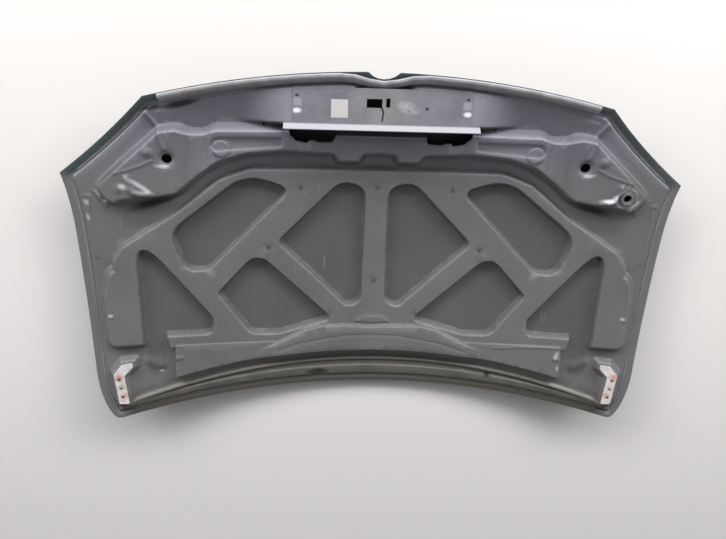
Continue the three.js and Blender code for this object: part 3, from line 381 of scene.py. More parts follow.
pad_foot = pressed([
    (456, 590, 20), (500, 582, 30), (545, 582, 30), (600, 574, 20), (604, 530, 20), (500, 520, 20),
    (446, 570, 20),
], 30)
pad_dimple = circle_loop((478, 682), 16), 8
side_pad = pressed([(540, 420, 5), (640, 418, 45), (657, 340, 40), (655, 204, 26), (540, 204, 5)], 22)
rear_panel = pressed([(499, 208, 6), (OVER_CENTRE, 208, 5), (OVER_CENTRE, 50, 5), (505, 50, 5)], 8)
rear_arch = pressed([
    (OVER_CENTRE, 251, 5), (128, 253, 50), (170, 243, 40), (250, 203, 50), (420, 142, 12), (436, 50, 5),
    (OVER_CENTRE, 50, 5),
], 12)
centre_emboss = pressed([(OVER_CENTRE, 278, 5), (26, 274, 10), (50, 258, 8), (OVER_CENTRE, 248, 5)], 8)
prop_boss = circle_loop((589, 612), 25), 5
hinge_plate_corners = [(641, 54), (617, 52), (624, 130), (602, 152), (602, 163), (628, 161), (649, 137)]
hinge_pad = pressed([(x, v, 8) for x, v in set_out(hinge_plate_corners, -9)], 14)
latch_seat = pressed([(-209, 855, 14), (209, 855, 14), (209, 740, 14), (-209, 740, 14)], 16)

# %% [markdown]
# ## Height of the sheet
# Levels are raised one over another as the press does: the low shelf first, then the front
# beam, the X-shaped web and the pads. The pockets are pushed back down. The flat seats for
# the hinges, the prop rod and the latch plate come last, because a bolted part needs a true
# plane.

# %% Height function
SHELF, WEB, BEAM, PAD, PAD_FALL, PAD_FOOT = 6.0, 26.0, 42.0, 40.0, 30.0, 9.0
REAR_PANEL, REAR_ARCH_HEIGHT, HINGE_PAD = 29.0, 36.0, 22.0
SKIN_SHEET, FRAME_SHEET, SEAT_GAP = 0.8, 0.7, 0.35
FLANGE = SKIN_SHEET + SEAT_GAP + FRAME_SHEET
FLANGE_WIDE, FLANGE_STEP = 20.0, 7.0
PLATE_FRONT, PLATE_FRONT_RISE, PLATE_SLOPE, PLATE_THICK = 847.0, 90.0, 5.0 / 76.0, 1.5
SEAT_HALF, SEAT_REAR, RAMP_FOOT, RAMP_RUN = 201.0, 757.0, 330.0, 14.0


def lifted_rise(x, v, height):
    return skin_rise(x, v) + height * skin_stretch(x, v)


def leaning_plane(place, height):
    """A flat seat that leans with the skin under its middle."""
    x0, v0 = place
    rise = float(lifted_rise(x0, v0, height))
    lean_x = x0 / CROWN_ACROSS
    lean_v = (v0 - CROWN_LOWEST) / CROWN_ALONG + max(0.0, v0 - NOSE_START) / NOSE_RADIUS
    return lambda x, v: rise + lean_x * (x - x0) + lean_v * (v - v0)


hinge_plane = leaning_plane((634.5, 96), HINGE_PAD)
prop_plane = leaning_plane((589, 612), PAD - 8)


def latch_plane(v):
    return PLATE_FRONT_RISE + PLATE_SLOPE * (PLATE_FRONT - v)


def latch_share(x, v):
    """1 under the latch plate, and beside it a ramp that runs down to the shelf."""
    across = smooth((RAMP_FOOT - np.abs(x)) / (RAMP_FOOT - SEAT_HALF))
    along = smooth((v - SEAT_REAR) / RAMP_RUN)
    return np.maximum(share(latch_seat, x, v), across * along)


def seal_line(x):
    dip = np.where(np.abs(x) < 90, (NOTCH_DEPTH + 2) * 0.5 * (1 + np.cos(np.pi * x / 90)), 0)
    return front_edge(x) - 11 - dip


def inside_flange(x, v):
    """How far inside the foot of the step by the flange a place lies."""
    from_edge = inside_by(outline, x, v, 400) - FLANGE_WIDE
    return np.minimum(from_edge, seal_line(x) - 11 - v)


def frame_rise(x, v):
    side = np.abs(x)

    def raised(height, part, top):
        return np.maximum(height, SHELF + (top - SHELF) * part)

    height = np.full(x.shape, SHELF)
    pad_top = PAD - PAD_FALL * smooth((side - 560) / 110)
    height = raised(height, share(beam, x, v), np.where(side < 380, BEAM, pad_top))
    height += (PAD_FOOT - height) * share(pad_foot, side, v)
    height = raised(height, share(web, x, v), WEB)
    height = raised(height, share(side_pad, side, v), WEB)
    for pocket in pockets:
        height += (SHELF - height) * share(pocket, side, v)
    height -= 3 * share(beam_recess, side, v) - 2.5 * share(beam_disc, side, v)
    height -= 4 * share(pad_step, side, v)
    height -= 4 * share(pad_dimple, side, v)
    rear_share = smooth(0.5 + (v - rear_wall(x)) / 10)
    height = raised(height, share(rear_panel, side, v) * rear_share, REAR_PANEL)
    arch_top = REAR_ARCH_HEIGHT - 7 * smooth((side - 215) / 90)
    height = raised(height, share(rear_arch, side, v) * rear_share, arch_top)
    height += 2.5 * share(centre_emboss, side, v)
    bead_front, bead_rear = rear_line(x, 79, 32), rear_line(x, 60, 36)
    bead = np.abs(v - (bead_front + bead_rear) / 2) / ((bead_front - bead_rear) / 2)
    along_bead = np.where((side < 628) & (bead < 1), smooth((628 - side) / 20), 0)
    height += 8 * (1 - smooth(bead)) * along_bead
    height += 5 * smooth((rear_line(x, 49, 15) - v + 3) / 7)
    height += fine_pressings(x, v)
    rise = lifted_rise(x, v, height)
    rise += (hinge_plane(side, v) - rise) * share(hinge_pad, side, v)
    rise += (prop_plane(x, v) + 3 - rise) * np.where(x > 0, share(prop_boss, x, v), 0)
    seat = latch_plane(v) - PLATE_THICK / 2 - SEAT_GAP
    rise += (seat - rise) * latch_share(x, v)
    flange = lifted_rise(x, v, FLANGE)
    return flange + (rise - flange) * smooth(inside_flange(x, v) / FLANGE_STEP)


# %% [markdown]
# ## Fine pressings
# Small beads, domes and creases are too slight for the solid, but the light finds them: a
# bead that runs from the headlight corner to the big hole, low domes on the corner pads, a
# thin step behind the front seal, a groove along the rear arch, a line on one rear panel
# and a drain dent near the rear edge. Each is a line or a place with a width and a height.

# %% Fine pressings over the levels
FRONT_STEP = [(0, 846), (150, 844), (205, 839), (259, 832), (351, 819), (398, 810), (494, 784)]
FRONT_STEP_DEEP, FRONT_STEP_END = 2.2, 500
DRAIN_DENT, WING_DOME = (-140, 108), (-589, 612)
BEADS = [
    ([(519, 789), (506, 770), (487, 739), (481, 707)], 8.0, 3.5),
    ([(528, 598), (546, 599), (559, 604), (567, 618), (568, 638)], 11.0, 6.0),
    ([(596, 647), (559, 658), (532, 667), (510, 678)], 5.0, 1.6),
    ([(661, 590), (667, 553), (666, 511), (664, 440)], 6.0, 1.8),
    ([(627, 565), (638, 581), (652, 602)], 6.0, 2.0),
    ([(540, 146), (566, 159)], 21.0, 6.0),
    ([(482, 172), (503, 170)], 9.0, 3.0),
]
DOMES = [((516, 697), 17, 5.0), ((622, 575), 12, 2.0), ((668, 590), 9, 2.0), ((641, 291), 10, 1.8)]


RIGHT_BEADS = [([(324, 194), (410, 201), (488, 205)], 6.0, 1.8)]
GROOVES = [([(0, 224), (60, 223), (120, 214), (185, 201), (240, 182)], 5.0, 1.4)]


def bead_profile(distance, half_width, height):
    return height * (1 - smooth(distance / half_width))


def fine_pressings(x, v):
    side = np.abs(x)
    height = np.zeros(x.shape)
    for corners, half_width, top in BEADS:
        height = np.maximum(height, bead_profile(near_line(corners, side, v), half_width, top))
    for corners, half_width, top in RIGHT_BEADS:
        height += bead_profile(near_line(corners, x, v), half_width, top)
    for corners, half_width, deep in GROOVES:
        height -= bead_profile(near_line(corners, side, v), half_width, deep)
    for (cx, cv), radius, top in DOMES:
        height += bead_profile(np.hypot(side - cx, v - cv), radius, top)
    step_x = np.array([p[0] for p in FRONT_STEP], float)
    step_v = np.array([p[1] for p in FRONT_STEP], float)
    before_step = v - np.interp(side, step_x, step_v)
    height -= FRONT_STEP_DEEP * smooth((before_step + 2) / 5) * smooth((FRONT_STEP_END - side) / 8)
    wing_x, wing_v = WING_DOME
    height += np.where(x < 0, bead_profile(np.hypot(x - wing_x, v - wing_v), 17, 3.0), 0)
    dent_x, dent_v = DRAIN_DENT
    height -= bead_profile(np.hypot((x - dent_x) / 1.9, v - dent_v), 13, 2.5)
    return height


test_x, test_v = np.array([0.0, 358.0, 634.5]), np.array([470.0, 706.0, 96.0])
print("heights at three places:", np.round(frame_rise(test_x, test_v), 2))

# %% [markdown]
# ## Cutting the sheet finer
# A fine sheet could be a grid cut to the outline, but the grid would leave a saw edge. Here
# the upper side of the CAD sheet is copied, so its holes and its rim are already right, and
# only edges that stray from the formula are cut in two, again and again. Flat areas stay
# coarse and walls become fine.

# %% Copy and refine helpers


def plan_array(build):
    build.verts.ensure_lookup_table()
    return to_plan([p.co for p in build.verts])


def merged_copy(node):
    """A bmesh of a CAD node with its loose triangles joined."""
    build = bmesh.new()
    build.from_mesh(nodes[node].data)
    bmesh.ops.remove_doubles(build, verts=build.verts, dist=2e-6)
    return build


def cut_long_edges(build, is_long):
    """Cuts the edges that is_long marks: a triangle is cut on one side or on all three."""
    build.edges.index_update()
    ends = np.array([(e.verts[0].index, e.verts[1].index) for e in build.edges])
    sides = np.array([[edge.index for edge in face.edges] for face in build.faces])
    marked = is_long(plan_array(build), ends)
    while True:
        two = marked[sides].sum(1) == 2
        if not two.any():
            break
        marked[sides[two]] = True
    edges = [edge for edge, mark in zip(build.edges, marked) if mark]
    bmesh.ops.subdivide_edges(build, edges=edges, cuts=1, use_grid_fill=True, use_single_edge=True)
    bmesh.ops.triangulate(build, faces=[face for face in build.faces if len(face.verts) > 3])
    build.verts.index_update()
    return len(edges)


def finish_piece(build, name, look, slot_name, *replaced):
    """A mesh object from a bmesh, with its finish, its body and the nodes it stands for."""
    mesh = bpy.data.meshes.new(name)
    for face in build.faces:
        face.smooth = True
    build.to_mesh(mesh)
    build.free()
    mesh.materials.append(look)
    piece = bpy.data.objects.new(name, mesh)
    scene.collection.objects.link(piece)
    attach(piece, "root")
    if replaced:
        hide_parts(*replaced)
    print(f"{name}: {len(mesh.vertices)} points, {len(mesh.polygons)} faces")
    return piece


# %% [markdown]
# ## Paint and other finishes
# Each finish starts from one colour, then noise at several sizes breaks it up: broad blotches
# of old dirt, fine grain, and pale dust that gathers where the sheet is hollow. The sheet
# carries its own values at each point, such as how sharp an edge is, and the paint reads
# them.

# %% Node helpers


class Finish:
    """A material under construction, in a few plain steps."""

    def __init__(self, name, colour, roughness, metallic=0.0, specular=0.3):
        self.material, self.shader = shader_of(name)
        self.tree = self.material.node_tree
        self.shader.inputs["Roughness"].default_value = roughness
        self.shader.inputs["Metallic"].default_value = metallic
        self.shader.inputs["Specular IOR Level"].default_value = specular
        self.colour = self.flat(colour)
        self.places = self.add("ShaderNodeTexCoord").outputs["Object"]
        self.shine, self.full_shine = None, specular

    def add(self, kind, **values):
        node = self.tree.nodes.new(kind)
        for key, value in values.items():
            setattr(node, key, value)
        return node

    def link(self, start, end):
        self.tree.links.new(start, end)

    def flat(self, colour):
        node = self.add("ShaderNodeRGB")
        node.outputs[0].default_value = (*colour, 1)
        return node.outputs[0]

    def stretched(self, scale, turn=0.0):
        mapping = self.add("ShaderNodeMapping")
        mapping.inputs["Scale"].default_value = scale
        mapping.inputs["Rotation"].default_value = (0, 0, turn)
        self.link(self.places, mapping.inputs["Vector"])
        return mapping.outputs[0]

    def noise(self, scale, detail=4.0, places=None):
        node = self.add("ShaderNodeTexNoise")
        node.inputs["Scale"].default_value = scale
        node.inputs["Detail"].default_value = detail
        self.link(places or self.places, node.inputs["Vector"])
        return node.outputs["Fac"]

    def ramp(self, value, low, high, start=0.0, end=1.0):
        node = self.add("ShaderNodeMapRange", clamp=True)
        node.inputs["From Min"].default_value = low
        node.inputs["From Max"].default_value = high
        node.inputs["To Min"].default_value = start
        node.inputs["To Max"].default_value = end
        self.link(value, node.inputs["Value"])
        return node.outputs["Result"]

    def maths(self, operation, a, b):
        node = self.add("ShaderNodeMath", operation=operation)
        for i, value in enumerate((a, b)):
            if isinstance(value, (int, float)):
                node.inputs[i].default_value = value
            else:
                self.link(value, node.inputs[i])
        return node.outputs[0]

    def times(self, a, b):
        return self.maths("MULTIPLY", a, b)

    def carried(self, name):
        return self.add("ShaderNodeAttribute", attribute_name=name).outputs["Fac"]

    def height_at(self):
        split = self.add("ShaderNodeSeparateXYZ")
        self.link(self.places, split.inputs[0])
        return split.outputs[2]

    def mark(self, place, half, turn=0.0, square=False, soft=0.15):
        """1 inside a small ellipse or rectangle at a plan place, 0 outside."""
        x, v = place
        local = self.add("ShaderNodeMapping", vector_type="TEXTURE")
        local.inputs["Location"].default_value = (x / 1000, (v - shift_v) / 1000, 0)
        local.inputs["Rotation"].default_value = (0, 0, math.radians(turn))
        local.inputs["Scale"].default_value = (half[0] / 1000, half[1] / 1000, 1000)
        self.link(self.places, local.inputs["Vector"])
        if square:
            size = self.add("ShaderNodeVectorMath", operation="ABSOLUTE")
            self.link(local.outputs[0], size.inputs[0])
            split = self.add("ShaderNodeSeparateXYZ")
            self.link(size.outputs[0], split.inputs[0])
            reach = self.maths("MAXIMUM", split.outputs[0], split.outputs[1])
        else:
            size = self.add("ShaderNodeVectorMath", operation="LENGTH")
            self.link(local.outputs[0], size.inputs[0])
            reach = size.outputs["Value"]
        return self.ramp(reach, 1 + soft, 1 - soft)

    def tint(self, colour, amount):
        """Lays a colour over what is there, by an amount from 0 to 1."""
        node = self.add("ShaderNodeMix", data_type="RGBA")
        if isinstance(amount, (int, float)):
            node.inputs["Factor"].default_value = amount
        else:
            self.link(amount, node.inputs["Factor"])
        self.link(self.colour, node.inputs[6])
        if isinstance(colour, tuple):
            node.inputs[7].default_value = (*colour, 1)
        else:
            self.link(colour, node.inputs[7])
        self.colour = node.outputs[2]

    def scale_by(self, value):
        """Multiplies the colour by a value that varies over the surface."""
        node = self.add("ShaderNodeVectorMath", operation="SCALE")
        self.link(self.colour, node.inputs[0])
        self.link(value, node.inputs["Scale"])
        self.colour = node.outputs[0]

    def dull(self, amount):
        """Takes the shine off, by an amount from 0 to 1."""
        kept = self.maths("SUBTRACT", 1.0, amount)
        self.shine = self.times(self.full_shine if self.shine is None else self.shine, kept)

    def rough_by(self, value):
        self.link(value, self.shader.inputs["Roughness"])

    def done(self, bump=None, depth=0.0002, strength=0.5):
        self.link(self.colour, self.shader.inputs["Base Color"])
        if self.shine is not None:
            self.link(self.shine, self.shader.inputs["Specular IOR Level"])
        if bump is not None:
            node = self.add("ShaderNodeBump")
            node.inputs["Distance"].default_value = depth
            node.inputs["Strength"].default_value = strength
            self.link(bump, node.inputs["Height"])
            self.link(node.outputs["Normal"], self.shader.inputs["Normal"])
        return self.material


# %% [markdown]
# ## Marks on the frame's paint
# A mark is an ellipse or a rectangle at a plan place, with its half sizes in millimetres and
# its turn in degrees. The finish finds it by distance, so it needs no points in the sheet
# and no picture: pale squares under the windows, pale scuffs, painted highlights on small
# bumps and on the lips of the corner pads, painted shade under the pads' rear walls and in
# small creases and dents, dark rings of painted shade in the clip-hole cups, and the painted
# shadow under the latch plate's ledge.

# %% Places of the marks
PALE_SQUARES = [((-172, 710), (14, 10), 0), ((172, 710), (14, 10), 0)]
# Pale spots: pale scuffs and scratches in the paint, and painted highlights on small bumps.
PALE_SPOTS_AND_HIGHLIGHTS = [
    ((-670, 576), (5, 7), 20), ((-642, 597), (4, 9), 30), ((-628, 578), (6, 4), 0),
    ((-670, 540), (4, 8), 10), ((-642, 294), (6, 4), 0), ((636, 297), (6, 4), 0),
    ((-538, 128), (6, 4), 0), ((486, 183), (5, 10), -20), ((492, 146), (3, 7), 0),
]
# Painted highlights: bright streaks on the lips and ridges of the corner pads.
PAINTED_HIGHLIGHTS = [
    ((-543, 620), (26, 4.5), -36), ((-577, 617), (9, 6), -20), ((-489, 664), (13, 4), -8),
    ((566, 620), (24, 4), 45), ((547, 605), (12, 4), 0), ((489, 663), (12, 4), 8),
    ((608, 594), (15, 4), 35),
]
# Painted shade: dark spots under the corner pads' rear walls, by the front step, in the drain dent and
# at two small places.
PAINTED_SHADE_SPOTS = [
    ((-520, 576), (52, 12), 20), ((516, 580), (48, 11), -20), ((-439, 802), (38, 7), 14),
    ((-500, 794), (20, 5), 14), (DRAIN_DENT, (27, 8), 4), ((317, 106), (8, 6), 0),
    ((54, 848), (17, 7), 0),
]
LEDGE_SHADOW = (0, 750), (194, 6)
CLIP_HOLES = [(182, 608), (-182, 608), (261, 457), (-261, 457), (0, 611), (0, 369)]
HINGE_HOLES = [(side * x, v) for side in (1, -1) for x, v in ((637, 120), (634.5, 96), (632, 72))]
print("marks:", len(PALE_SQUARES + PALE_SPOTS_AND_HIGHLIGHTS + PAINTED_HIGHLIGHTS + PAINTED_SHADE_SPOTS))

# %% Inner frame paint


def frame_paint():
    paint = Finish("inner_frame_paint", (0.126, 0.126, 0.130), 0.5, specular=0.32)
    paint.tint((0.128, 0.126, 0.148), paint.carried("cool"))
    blotch = paint.noise(7.0, 5.0)
    paint.scale_by(paint.ramp(blotch, 0.3, 0.7, 0.9, 1.1))
    # Painted light and shade: the tone lightens the front, the beam top and the channel, and darkens
    # the pockets, the beam's front wall and the rear.
    paint.scale_by(paint.carried("painted_light_and_shade"))
    grain = paint.noise(420.0, 3.0)
    paint.scale_by(paint.ramp(grain, 0.3, 0.7, 0.86, 1.14))
    dust = paint.times(paint.carried("hollow"), paint.ramp(paint.noise(30.0, 6.0), 0.4, 0.65))
    paint.tint((0.20, 0.19, 0.175), paint.times(dust, 0.3))
    worn = paint.ramp(paint.noise(55.0, 5.0), 0.4, 0.62, 0.2, 1.0)
    paint.tint((0.34, 0.34, 0.36), paint.times(paint.carried("edge"), worn))
    earth = paint.ramp(paint.noise(18.0, 6.0), 0.35, 0.65, 0.3, 1.0)
    paint.tint((0.100, 0.092, 0.066), paint.times(paint.carried("earth"), earth))
    scratch = paint.ramp(paint.noise(90.0, 2.0, paint.stretched((1.0, 0.06, 1.0), 0.5)), 0.72, 0.76)
    paint.tint((0.30, 0.30, 0.31), paint.times(scratch, 0.3))
    for spot in PALE_SQUARES:
        paint.tint((0.30, 0.29, 0.31), paint.times(paint.mark(*spot, square=True), 0.5))
    # Pale scuffs, and painted highlights on small bumps.
    for spot in PALE_SPOTS_AND_HIGHLIGHTS:
        paint.tint((0.45, 0.43, 0.42), paint.times(paint.mark(*spot, soft=0.4), 0.6))
    # Painted shade, with the shine taken off where it lies.
    for spot in PAINTED_SHADE_SPOTS:
        painted_shade = paint.times(paint.mark(*spot, soft=0.4), 0.8)
        paint.tint((0.02, 0.018, 0.017), painted_shade)
        paint.dull(painted_shade)
    # Painted highlights on the lips and ridges of the corner pads.
    for spot in PAINTED_HIGHLIGHTS:
        paint.tint((0.60, 0.58, 0.62), paint.times(paint.mark(*spot, soft=0.6), 0.75))
    under_ledge = paint.times(paint.mark(*LEDGE_SHADOW, square=True, soft=0.3), 0.9)
    paint.tint((0.014, 0.012, 0.020), under_ledge)
    paint.dull(under_ledge)
    paint.dull(paint.times(paint.carried("hollow"), 0.6))
    # Painted shade: a dark ring in each clip-hole cup stands in for the shade inside an open hole.
    for place in CLIP_HOLES:
        paint.tint((0.03, 0.03, 0.032), paint.times(paint.mark(place, (5.5, 5.5), soft=0.35), 0.6))
    paint.rough_by(paint.ramp(paint.noise(24.0, 4.0), 0.3, 0.7, 0.28, 0.42))
    return paint.done(grain, 0.0003, 0.35)


frame_look = frame_paint()

# %% [markdown]
# ## The inner frame
# The real sheet is one pressing 0.7 mm thick. Its upper side is kept from the CAD node,
# refined, and moved onto the formula. Edges are cut only where the straight edge strays from
# the formula, which spends the triangles on walls. The clip holes are closed by shallow cups
# and the hinge holes by flat caps. The rims are then drawn down by the sheet's thickness, so
# every hole shows a true edge. The underside faces the closed skin and is never seen.

# %% Build the inner frame
LONGEST, SHORTEST, STRAY = 30.0, 3.4, 0.16
CHINK_EDGE, CUP_DEEP, HOLE_REACH = 0.004, 0.003, 9


def upper_side(build):
    """Deletes every face of the sheet but its upper side."""
    build.normal_update()
    faces = list(build.faces)
    middles = to_plan([f.calc_center_median() for f in faces])
    normals = np.array([f.normal for f in faces])
    nose = np.maximum(0, middles[:, 1] - NOSE_START)
    lean_x = middles[:, 0] / CROWN_ACROSS
    lean_v = (middles[:, 1] - CROWN_LOWEST) / CROWN_ALONG + nose / NOSE_RADIUS
    skin_normal = np.stack([-lean_x, -lean_v, np.ones(len(faces))], 1)
    skin_normal /= np.linalg.norm(skin_normal, axis=1)[:, None]
    keep = ((normals * skin_normal).sum(1) > 0.08) & (normals[:, 2] > 0.02)
    drop = [face for face, kept in zip(faces, keep) if not kept]
    bmesh.ops.delete(build, geom=drop, context="FACES")


def strays(places, ends):
    """Edges that are longer than the shape allows."""
    a, b = places[ends[:, 0]], places[ends[:, 1]]
    length = np.hypot(*(a - b)[:, :2].T)
    worst = np.zeros(len(ends))
    for t in (0.25, 0.5, 0.75):
        x = a[:, 0] + t * (b[:, 0] - a[:, 0])
        v = a[:, 1] + t * (b[:, 1] - a[:, 1])
        straight = a[:, 2] + t * (b[:, 2] - a[:, 2])
        worst = np.maximum(worst, np.abs(frame_rise(x, v) - straight))
    return (length > LONGEST) | ((worst > STRAY) & (length > SHORTEST))


def onto_formula(build):
    places = plan_array(build)
    places[:, 2] = frame_rise(places[:, 0], places[:, 1])
    for vertex, place in zip(build.verts, to_frame(places)):
        vertex.co = place


def close_small_holes(build):
    """Closes holes that a stub or a bolt end fills: a shallow cup in the web, flat at the hinges."""
    rims = [edge for edge in build.edges if edge.is_boundary]
    middles = to_plan([edge.verts[0].co for edge in rims])
    for places, depth in ((CLIP_HOLES, CUP_DEEP), (HINGE_HOLES, 0.0)):
        for x, v in places:
            near = [e for e, m in zip(rims, middles) if math.hypot(m[0] - x, m[1] - v) < HOLE_REACH]
            if near:
                made = bmesh.ops.contextual_create(build, geom=near)
                cup = bmesh.ops.poke(build, faces=made["faces"])
                for vertex in cup["verts"]:
                    vertex.co.z -= depth
                for face in cup["faces"]:
                    face.normal_update()
                    if face.normal.z < 0:
                        face.normal_flip()
    print("small holes closed:", len(CLIP_HOLES) + len(HINGE_HOLES))


def store(piece, name, values):
    carried = piece.data.attributes.new(name, "FLOAT", "POINT")
    carried.data.foreach_set("value", np.asarray(values, np.float32))


sheet = merged_copy("inner_frame")
upper_side(sheet)
chinks = [edge for edge in sheet.edges if edge.is_boundary and edge.calc_length() < CHINK_EDGE]
bmesh.ops.holes_fill(sheet, edges=chinks, sides=5)
bmesh.ops.triangulate(sheet, faces=[face for face in sheet.faces if len(face.verts) > 3])
onto_formula(sheet)
for turn in range(5):
    cut = cut_long_edges(sheet, strays)
    onto_formula(sheet)
    print(f"turn {turn + 1}: {cut} edges cut, {len(sheet.faces)} faces")
close_small_holes(sheet)
rims = [edge for edge in sheet.edges if edge.is_boundary]
drawn_down = bmesh.ops.extrude_edge_only(sheet, edges=rims)
rim_points = [part for part in drawn_down["geom"] if isinstance(part, bmesh.types.BMVert)]
bmesh.ops.translate(sheet, verts=rim_points, vec=(0, 0, -FRAME_SHEET / 1000))
frame_places = plan_array(sheet)
frame_piece = finish_piece(sheet, "inner_frame_sheet", frame_look, "frame_paint", "inner_frame")

# %% [markdown]
# ## Values that the paint reads
# The paint is bluer towards the front, brown with earth along the rear edge, and worn pale on
# sharp edges. A tone paints light and shade into it: painted light towards the front, on the
# beam top and in the channel that the beam shades, a little lighter on the latch seat, and
# painted shade in the pockets, on the beam's front wall, towards the rear and along the rear
# edge. Each point of the sheet gets these shares from the same loops that press it, so they
# follow the shape.

# %% Values at each point
BEND_REACH = 4.0
# How strong the painted light (LIGHTER) and the painted shade (DARKER) are in the tone.
FRONT_LIGHTER, SEAT_LIGHTER, BEAM_LIGHTER, CHANNEL_LIGHTER = 0.38, 0.08, 0.32, 0.4
POCKET_DARKER, BEAM_WALL_DARKER, MIDDLE_DARKER = 0.32, 0.38, 0.07
BEHIND_DARKER, REAR_STRIP_DARKER = 0.25, 0.66


def bend(x, v, reach):
    """Positive on outward edges of the sheet, negative in its hollows, in mm."""
    steps = ((reach, 0), (-reach, 0), (0, reach), (0, -reach))
    around = sum(frame_rise(x + dx, v + dv) for dx, dv in steps)
    return frame_rise(x, v) - around / 4


frame_x, frame_v = frame_places[:, 0], frame_places[:, 1]
frame_side = np.abs(frame_x)
sharp = bend(frame_x, frame_v, BEND_REACH)
store(frame_piece, "edge", smooth((sharp - 0.35) / 1.2) * 0.12)
store(frame_piece, "hollow", smooth((-sharp - 0.15) / 1.0))

forward = smooth((frame_v - 600) / 160)
store(frame_piece, "cool", forward)
behind = smooth((rear_wall(frame_x) - frame_v) / 12)
store(frame_piece, "earth", 0.7 * behind)

# Shares that say where light and shade are painted into the tone.
in_pocket = sum(share(pocket, frame_side, frame_v) for pocket in pockets)
on_seat = latch_share(frame_x, frame_v)
on_web = share(web, frame_x, frame_v)
on_beam = share(beam, frame_x, frame_v)
rear_strip = smooth((rear_line(frame_x, 54, 13) - frame_v) / 6) * (frame_side < 640)
wall_front = np.where(frame_side > 440, 612, 700)
beam_front = 4 * on_beam * (1 - on_beam) * smooth((frame_v - wall_front) / 20)
channel = (1 - on_beam) * (1 - on_web) * smooth((frame_v - 600) / 40) * smooth((735 - frame_v) / 20)
# Painted light and shade, as a factor on the colour.
painted_light_and_shade = 1 + FRONT_LIGHTER * forward - POCKET_DARKER * np.clip(in_pocket, 0, 1)
painted_light_and_shade += SEAT_LIGHTER * on_seat
painted_light_and_shade += BEAM_LIGHTER * on_beam * smooth((450 - frame_side) / 70) - BEAM_WALL_DARKER * beam_front
painted_light_and_shade += CHANNEL_LIGHTER * channel * smooth((520 - frame_side) / 60)
painted_light_and_shade *= 1 - MIDDLE_DARKER * smooth((620 - frame_v) / 60)
painted_light_and_shade *= (1 - BEHIND_DARKER * behind) * (1 - REAR_STRIP_DARKER * rear_strip)
store(frame_piece, "painted_light_and_shade", painted_light_and_shade)
print(f"tone from {painted_light_and_shade.min():.2f} to {painted_light_and_shade.max():.2f}")

# %% [markdown]
# ## The outer skin
# The skin is copied whole, with its hem. Each point keeps its height over the crown while the
# edges are cut, so the new points lie on the crown and the hem keeps its section.

# %% Build the outer skin


def skin_paint():
    paint = Finish("outer_skin_paint", (0.020, 0.030, 0.033), 0.28, specular=0.5)
    flake = paint.ramp(paint.noise(900.0, 2.0), 0.45, 0.75)
    paint.tint((0.03, 0.045, 0.045), paint.times(flake, 0.6))
    dust = paint.ramp(paint.noise(9.0, 6.0), 0.45, 0.75)
    paint.tint((0.10, 0.105, 0.105), paint.times(dust, 0.3))
    lip = paint.carried("lip")
    paint.tint((0.105, 0.105, 0.108), paint.times(lip, paint.carried("grey")))
    # Painted highlight: the inner end of the hem lip is painted lighter, as a lit line along the hem
    # that also lightens the shade between the lip and the sealer.
    lip_end_highlight = paint.times(lip, paint.ramp(paint.carried("inward"), 0.72, 0.9))
    paint.tint((0.15, 0.15, 0.165), lip_end_highlight)
    paint.tint((0.035, 0.03, 0.024), paint.times(lip, paint.carried("earth")))
    gloss = paint.ramp(paint.noise(16.0, 5.0), 0.35, 0.7, 0.22, 0.5)
    paint.rough_by(paint.maths("MAXIMUM", gloss, paint.times(lip, 0.6)))
    paint.link(paint.ramp(lip, 0.2, 0.6, 0.6, 0.0), paint.shader.inputs["Coat Weight"])
    paint.shader.inputs["Coat Roughness"].default_value = 0.12
    return paint.done(paint.noise(60.0, 2.0), 0.0002, 0.12)


SKIN_LONGEST = 18.0
skin = merged_copy("outer_skin")
height_layer = skin.verts.layers.float.new("height")
for vertex, place in zip(skin.verts, plan_array(skin)):
    vertex[height_layer] = (place[2] - skin_rise(place[0], place[1])) / skin_stretch(place[0], place[1])


def too_long(places, ends):
    gap = places[ends[:, 0]] - places[ends[:, 1]]
    return np.linalg.norm(gap, axis=1) > SKIN_LONGEST


for turn in range(3):
    cut = cut_long_edges(skin, too_long)
    print(f"skin turn {turn + 1}: {cut} edges cut")
skin_places = plan_array(skin)
heights = np.array([vertex[height_layer] for vertex in skin.verts])
skin_places[:, 2] = np.maximum(lifted_rise(skin_places[:, 0], skin_places[:, 1], heights), shift_z)
for vertex, place in zip(skin.verts, to_frame(skin_places)):
    vertex.co = place
skin_piece = finish_piece(skin, "outer_skin_sheet", skin_paint(), "skin_paint", "outer_skin")
skin_x, skin_v = skin_places[:, 0], skin_places[:, 1]
from_rim = inside_by(outline, skin_x, skin_v, 400)
store(skin_piece, "lip", smooth((heights - 0.5) / 1.2))
at_side = smooth((648 - skin_v) / 14)
store(skin_piece, "grey", at_side)
store(skin_piece, "inward", from_rim / from_rim[heights > 1].max())
store(skin_piece, "earth", smooth((110 - skin_v) / 25) * smooth((640 - np.abs(skin_x)) / 30))

# %% [markdown]
# ## Finishes for the other pieces
# The latch plate, the hinge plates, the seal, the nuts and the beads of sealer keep their
# CAD shape and only get a better finish.

# %% Finishes of the plates and trims
LEDGE_TALL = 0.0165
LEDGE_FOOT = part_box("latch_reinforcement")[1].z - LEDGE_TALL
TRIM_SPREAD, TRIM_GRAIN = 0.2, 80.0


